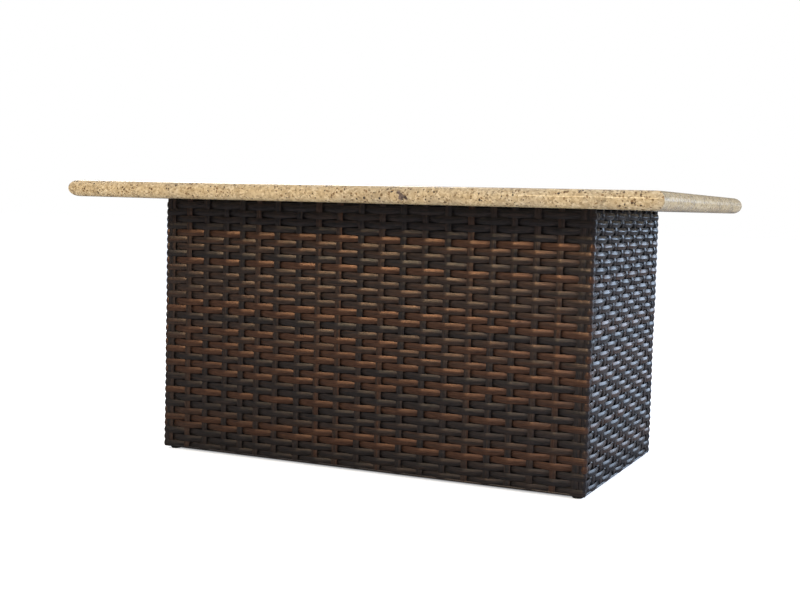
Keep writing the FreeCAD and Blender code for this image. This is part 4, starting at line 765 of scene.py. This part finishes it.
granite = bpy.data.materials.new("golden granite, polished")
granite.use_nodes = True
tree = granite.node_tree
shader = tree.nodes["Principled BSDF"]
place = add_node(tree, "TexCoord").outputs["Object"]
ripple = add_node(tree, "TexNoise", inputs={"Vector": place, "Scale": 1 / RIPPLE, "Detail": 3.0})
bent = add_node(tree, "VectorMath", {"operation": "MULTIPLY_ADD"},
                {0: ripple.outputs["Color"], 1: [RIPPLE_REACH] * 3, 2: place})
grain = add_node(tree, "TexVoronoi", inputs={"Vector": bent.outputs[0], "Scale": 1 / GRAIN})
pick = add_node(tree, "SeparateColor", inputs={0: grain.outputs["Color"]})
grains = add_node(tree, "ValToRGB", inputs={"Fac": pick.outputs[0]},
                  stops=[(0.0, "#6B5941"), (0.15, "#9A845F"), (0.5, "#B59E78"),
                         (0.75, "#C2AB84"), (1.0, "#D6C29E")])
drift = add_node(tree, "TexNoise", inputs={"Vector": place, "Scale": 1 / DRIFT, "Detail": 4.0})
drifts = add_node(tree, "ValToRGB", inputs={"Fac": drift.outputs["Fac"]},
                  stops=[(0.35, "#9E8F77"), (0.5, "#B59C75"), (0.65, "#BFA984")])
body = add_node(tree, "Mix", {"data_type": "RGBA"},
                {0: DRIFT_SHARE, 6: grains.outputs["Color"], 7: drifts.outputs["Color"]})
print("granite grains:", GRAIN / MM, "mm")

# %% Mica flecks and polish
fleck = add_node(tree, "TexVoronoi", inputs={"Vector": bent.outputs[0], "Scale": 1 / FLECK})
fleck_pick = add_node(tree, "SeparateColor", inputs={0: fleck.outputs["Color"]})
flock = add_node(tree, "TexNoise", inputs={"Vector": place, "Scale": 1 / FLOCK, "Detail": 2.0})
flocked = add_node(tree, "Math", {"operation": "MULTIPLY_ADD"},
                   {0: flock.outputs["Fac"], 1: 1.2, 2: fleck_pick.outputs[0]})
fleck_size = add_node(tree, "MapRange",
                      inputs={0: flocked.outputs[0], 1: 0.95, 2: 1.65, 3: 0.0, 4: LARGEST_FLECK})
fleck_edge = add_node(tree, "Math", {"operation": "SUBTRACT"},
                      {0: fleck_size.outputs[0], 1: fleck.outputs["Distance"]})
fleck_mask = add_node(tree, "MapRange", inputs={0: fleck_edge.outputs[0], 1: -0.02, 2: 0.10})
fleck_tint = add_node(tree, "ValToRGB", inputs={"Fac": fleck_pick.outputs[1]},
                      stops=[(0.0, "#3A2E26"), (0.5, "#5C4730"), (1.0, "#82633F")])
flecked = add_node(tree, "Mix", {"data_type": "RGBA"},
                   {0: fleck_mask.outputs[0], 6: body.outputs[2], 7: fleck_tint.outputs["Color"]})
# One large crystal of mica sits in the front edge
shake = add_node(tree, "TexNoise", inputs={"Vector": place, "Scale": 1 / SHAKE, "Detail": 4.0})
shaken = add_node(tree, "VectorMath", {"operation": "MULTIPLY_ADD"},
                  {0: shake.outputs["Color"], 1: [SHAKE_REACH] * 3, 2: place})
around = add_node(tree, "Mapping", {"vector_type": "TEXTURE"},
                  {"Vector": shaken.outputs[0], "Location": CRYSTAL_PLACE,
                   "Rotation": CRYSTAL_TURN, "Scale": CRYSTAL_SIZE})
far = add_node(tree, "VectorMath", {"operation": "LENGTH"}, {0: around.outputs[0]})
crystal = add_node(tree, "MapRange", inputs={0: far.outputs["Value"], 1: 0.75, 2: 1.15, 3: 1.0, 4: 0.0})
mica = add_node(tree, "ValToRGB", inputs={"Fac": ripple.outputs["Fac"]},
                stops=[(0.4, "#6B5C52"), (0.6, "#3F332D")])
stone = add_node(tree, "Mix", {"data_type": "RGBA"},
                 {0: crystal.outputs[0], 6: flecked.outputs[2], 7: mica.outputs["Color"]})
tree.links.new(stone.outputs[2], shader.inputs["Base Color"])
# Mica is softer than the grains, so it polishes less and lies a little lower
polish = add_node(tree, "MapRange", inputs={0: fleck_mask.outputs[0], 3: 0.17, 4: 0.28})
tree.links.new(polish.outputs[0], shader.inputs["Roughness"])
bump = add_node(tree, "Bump",
                inputs={"Height": fleck_mask.outputs[0], "Strength": 0.15, "Distance": -PIT_DEPTH})
tree.links.new(bump.outputs[0], shader.inputs["Normal"])
shader.inputs["IOR"].default_value = STONE_IOR
shader.inputs["Specular IOR Level"].default_value = STONE_SPECULAR
print("mica flecks up to", round(2 * LARGEST_FLECK * FLECK / MM, 1), "mm")

# %% [markdown]
# ## Lava rock
# The burner pan is filled with lava rock: broken, porous, dark red-brown stones 34 to 46 mm across.
# Sculpting hundreds is needless. Four stones are roughed out of spheres, with flats broken off, and copies
# of them, each turned and sized differently, are packed in three loose layers.

# %% Porous rock finish
PATCH, PORE = 30 * MM, 3.5 * MM
PORE_DEPTH = 1.5 * MM

lava = bpy.data.materials.new("lava rock, broken and porous")
lava.use_nodes = True
tree = lava.node_tree
shader = tree.nodes["Principled BSDF"]
place = add_node(tree, "TexCoord").outputs["Object"]
patch = add_node(tree, "TexNoise", inputs={"Vector": place, "Scale": 1 / PATCH, "Detail": 6.0})
pores = add_node(tree, "TexVoronoi", inputs={"Vector": place, "Scale": 1 / PORE})
rust = add_node(tree, "ValToRGB", inputs={"Fac": patch.outputs["Fac"]},
                stops=[(0.3, "#241B18"), (0.5, "#43291F"), (0.7, "#6B3A28")])
# The pores are painted nearly black, which is painted shade in the holes; the same mask also sinks them as a
# bump
pore_depth_and_shade = add_node(tree, "MapRange", inputs={0: pores.outputs["Distance"], 1: 0.15, 2: 0.55})
dark = add_node(tree, "Mix", {"data_type": "RGBA"},
                {0: pore_depth_and_shade.outputs[0], 6: linear("#120D0B"), 7: rust.outputs["Color"]})
tree.links.new(dark.outputs[2], shader.inputs["Base Color"])
bump = add_node(tree, "Bump", inputs={"Height": pore_depth_and_shade.outputs[0], "Strength": 0.9, "Distance": PORE_DEPTH})
tree.links.new(bump.outputs[0], shader.inputs["Normal"])
rough = add_node(tree, "MapRange", inputs={0: patch.outputs["Fac"], 3: 0.85, 4: 1.0})
tree.links.new(rough.outputs[0], shader.inputs["Roughness"])
print("pores:", PORE / MM, "mm apart")

# %% Rough out four stones
JITTER = 0.10
FLATS, FLAT_DISTANCE = 4, 0.36


def rough_stone(seed):
    """An uneven stone about 1 m across, to be scaled down: a jittered sphere, broken flat on some sides."""
    chance = random.Random(seed)
    deselect()
    bpy.ops.mesh.primitive_ico_sphere_add(subdivisions=2, radius=0.5)
    stone = bpy.context.object
    bpy.ops.object.mode_set(mode="EDIT")
    bpy.ops.mesh.select_all(action="SELECT")
    bpy.ops.transform.vertex_random(offset=JITTER, uniform=0.0, normal=0.0, seed=seed)
    for flat in range(FLATS):
        facing = Vector([chance.uniform(-1, 1) for axis in range(3)]).normalized()
        bpy.ops.mesh.select_all(action="SELECT")
        bpy.ops.mesh.bisect(plane_co=facing * FLAT_DISTANCE, plane_no=facing, use_fill=True, clear_outer=True)
    bpy.ops.mesh.select_all(action="SELECT")
    bpy.ops.mesh.quads_convert_to_tris()
    bpy.ops.mesh.normals_make_consistent(inside=False)
    bpy.ops.object.mode_set(mode="OBJECT")
    return stone


stones = [rough_stone(seed) for seed in (11, 12, 13, 14)]
print("faces to a stone:", [len(s.data.polygons) for s in stones])

# %% Fill the pan
LAYER_HEIGHTS = (0.016, 0.028, 0.038)
SMALLEST, LARGEST = 0.034, 0.046
# The farthest that a stone reaches from its middle, as a share of its size, and how much of that is below it
STONE_REACH, STONE_BELOW = 0.56, 0.9
LOOSENESS = 0.3
FULL_TURN = 6.28


def lay_stone(low, high, share, reach):
    """A place between two walls, a share of the way across, where a stone of that reach touches neither."""
    return min(max(low + reach + (high - low - 2 * reach) * share, low + reach), high - reach)


low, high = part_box("lava_rock_bed")
scatter = random.Random(21)
bed = []
for layer, height in enumerate(LAYER_HEIGHTS):
    across, along = (7, 16) if layer % 2 == 0 else (6, 15)
    for column in range(along):
        for line in range(across):
            size = scatter.uniform(SMALLEST, LARGEST)
            reach = size * STONE_REACH
            x_share = (column + scatter.uniform(-LOOSENESS, LOOSENESS)) / (along - 1)
            y_share = (line + scatter.uniform(-LOOSENESS, LOOSENESS)) / (across - 1)
            spot = Vector((lay_stone(low.x, high.x, x_share, reach), lay_stone(low.y, high.y, y_share, reach),
                           low.z + max(height, reach * STONE_BELOW)))
            stone = scatter.choice(stones)
            twin = stone.copy()
            twin.data = stone.data.copy()
            turn = Euler([scatter.uniform(0, FULL_TURN) for axis in range(3)]).to_matrix().to_4x4()
            depth, thickness = size * scatter.uniform(0.75, 1), size * scatter.uniform(0.6, 0.85)
            squeeze = Matrix.Diagonal((size, depth, thickness, 1))
            twin.data.transform(Matrix.Translation(spot) @ turn @ squeeze)
            bpy.context.scene.collection.objects.link(twin)
            bed.append(twin)
for stone in stones:
    bpy.data.objects.remove(stone)
rocks = join(bed, "lava_rocks")
rocks.data.materials.clear()
rocks.data.materials.append(lava)
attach(rocks, "base")
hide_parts("lava_rock_bed")
print("stones:", len(bed), "faces:", len(rocks.data.polygons))

# %% [markdown]
# ## Metals, plastics and the rest
# The remaining parts keep their own shapes. Their finishes differ in a few numbers only: two tones, a
# range of roughness, how metallic they are, and the size of the marks that making left on them. Long thin
# marks are brushing or drawing; even ones are casting, spangle or coating. So one table lists them.

# %% Plain finishes
STAIN = 90 * MM
# slot: name, dark tone, light tone, smoothest, roughest, metallic, size of a mark in mm along x, y and z,
# and its depth in mm
FINISHES = {
    # A soft brown-black sheen, faintly pebbled like orange peel
    "frame_tube": ("aluminium tube, powder coated", "#1B1512", "#2A211C", 0.45, 0.60, 0.0, (2, 2, 2), 0.15),
    # Fine parallel lines that stretch every highlight
    "stainless": ("stainless steel, brushed", "#8E8B86", "#C2BFB9", 0.24, 0.42, 1.0, (60, 0.8, 0.8), 0.02),
    # The same coat on a casting, a little smoother
    "coated_metal": ("zinc casting, powder coated", "#17120F", "#2A221D", 0.40, 0.55, 0.0, (2, 2, 2), 0.12),
    # Large pale and dark crystals of zinc
    "galvanised": ("steel sheet, galvanised", "#7E8386", "#AEB3B5", 0.35, 0.58, 0.9, (14, 14, 14), 0.03),
    # Warm yellow, with fine lines left by the tool
    "brass": ("brass, turned", "#8A6A2C", "#C59B4A", 0.22, 0.40, 1.0, (1.5, 1.5, 12), 0.03),
    # Pale and bright, with faint drawn lines
    "aluminium_tube": ("aluminium tube, drawn", "#A5A7A9", "#C9CBCC", 0.25, 0.42, 1.0, (40, 1, 1), 0.02),
    # A dull even black with the fine grain of a spark-eroded mould
    "black_plastic": ("nylon, moulded", "#0E0E0E", "#1F1F1F", 0.42, 0.58, 0.0, (1.2, 1.2, 1.2), 0.05),
    # A clear red with the gloss of a polished mould
    "red_plastic": ("ABS, moulded", "#7E130E", "#A81D15", 0.25, 0.40, 0.0, (3, 3, 3), 0.02),
    # Almost no highlight at all
    "rubber": ("rubber, moulded", "#0B0B0B", "#1A1918", 0.65, 0.85, 0.0, (1.5, 1.5, 1.5), 0.06),
    # Off-white, between chalk and glaze
    "ceramic": ("alumina ceramic, fired", "#D3CBBB", "#EAE5D9", 0.35, 0.55, 0.0, (4, 4, 4), 0.03),
}
finishes = {"granite": granite, "lava_rock": lava, "wicker": satin[0]}
for slot, (name, dark, light, smooth, coarse, metallic, marks, depth) in FINISHES.items():
    material = bpy.data.materials.new(name)
    material.use_nodes = True
    tree = material.node_tree
    shader = tree.nodes["Principled BSDF"]
    shader.inputs["Metallic"].default_value = metallic
    place = add_node(tree, "TexCoord").outputs["Object"]
    sized = add_node(tree, "Mapping", inputs={"Vector": place, "Scale": [1 / (m * MM) for m in marks]})
    mark = add_node(tree, "TexNoise", inputs={"Vector": sized.outputs[0], "Scale": 1.0, "Detail": 4.0})
    stain = add_node(tree, "TexNoise", inputs={"Vector": place, "Scale": 1 / STAIN, "Detail": 5.0})
    blend = add_node(tree, "Math", {"operation": "MULTIPLY_ADD"},
                     {0: stain.outputs["Fac"], 1: 0.6, 2: mark.outputs["Fac"]})
    share = add_node(tree, "MapRange", inputs={0: blend.outputs[0], 1: 0.55, 2: 1.05})
    tint = add_node(tree, "ValToRGB", inputs={"Fac": share.outputs[0]}, stops=[(0.0, dark), (1.0, light)])
    tree.links.new(tint.outputs["Color"], shader.inputs["Base Color"])
    rough = add_node(tree, "MapRange", inputs={0: share.outputs[0], 3: coarse, 4: smooth})
    tree.links.new(rough.outputs[0], shader.inputs["Roughness"])
    bump = add_node(tree, "Bump",
                    inputs={"Height": mark.outputs["Fac"], "Strength": 0.5, "Distance": depth * MM})
    tree.links.new(bump.outputs[0], shader.inputs["Normal"])
    finishes[slot] = material
print("finishes:", sorted(finishes))

# %% Give every part its finish
for part in frame["record"]["subparts"]:
    node = frame["nodes"][part["node"]]
    for holder in node.material_slots:
        holder.material = finishes[part["material_slot"]]
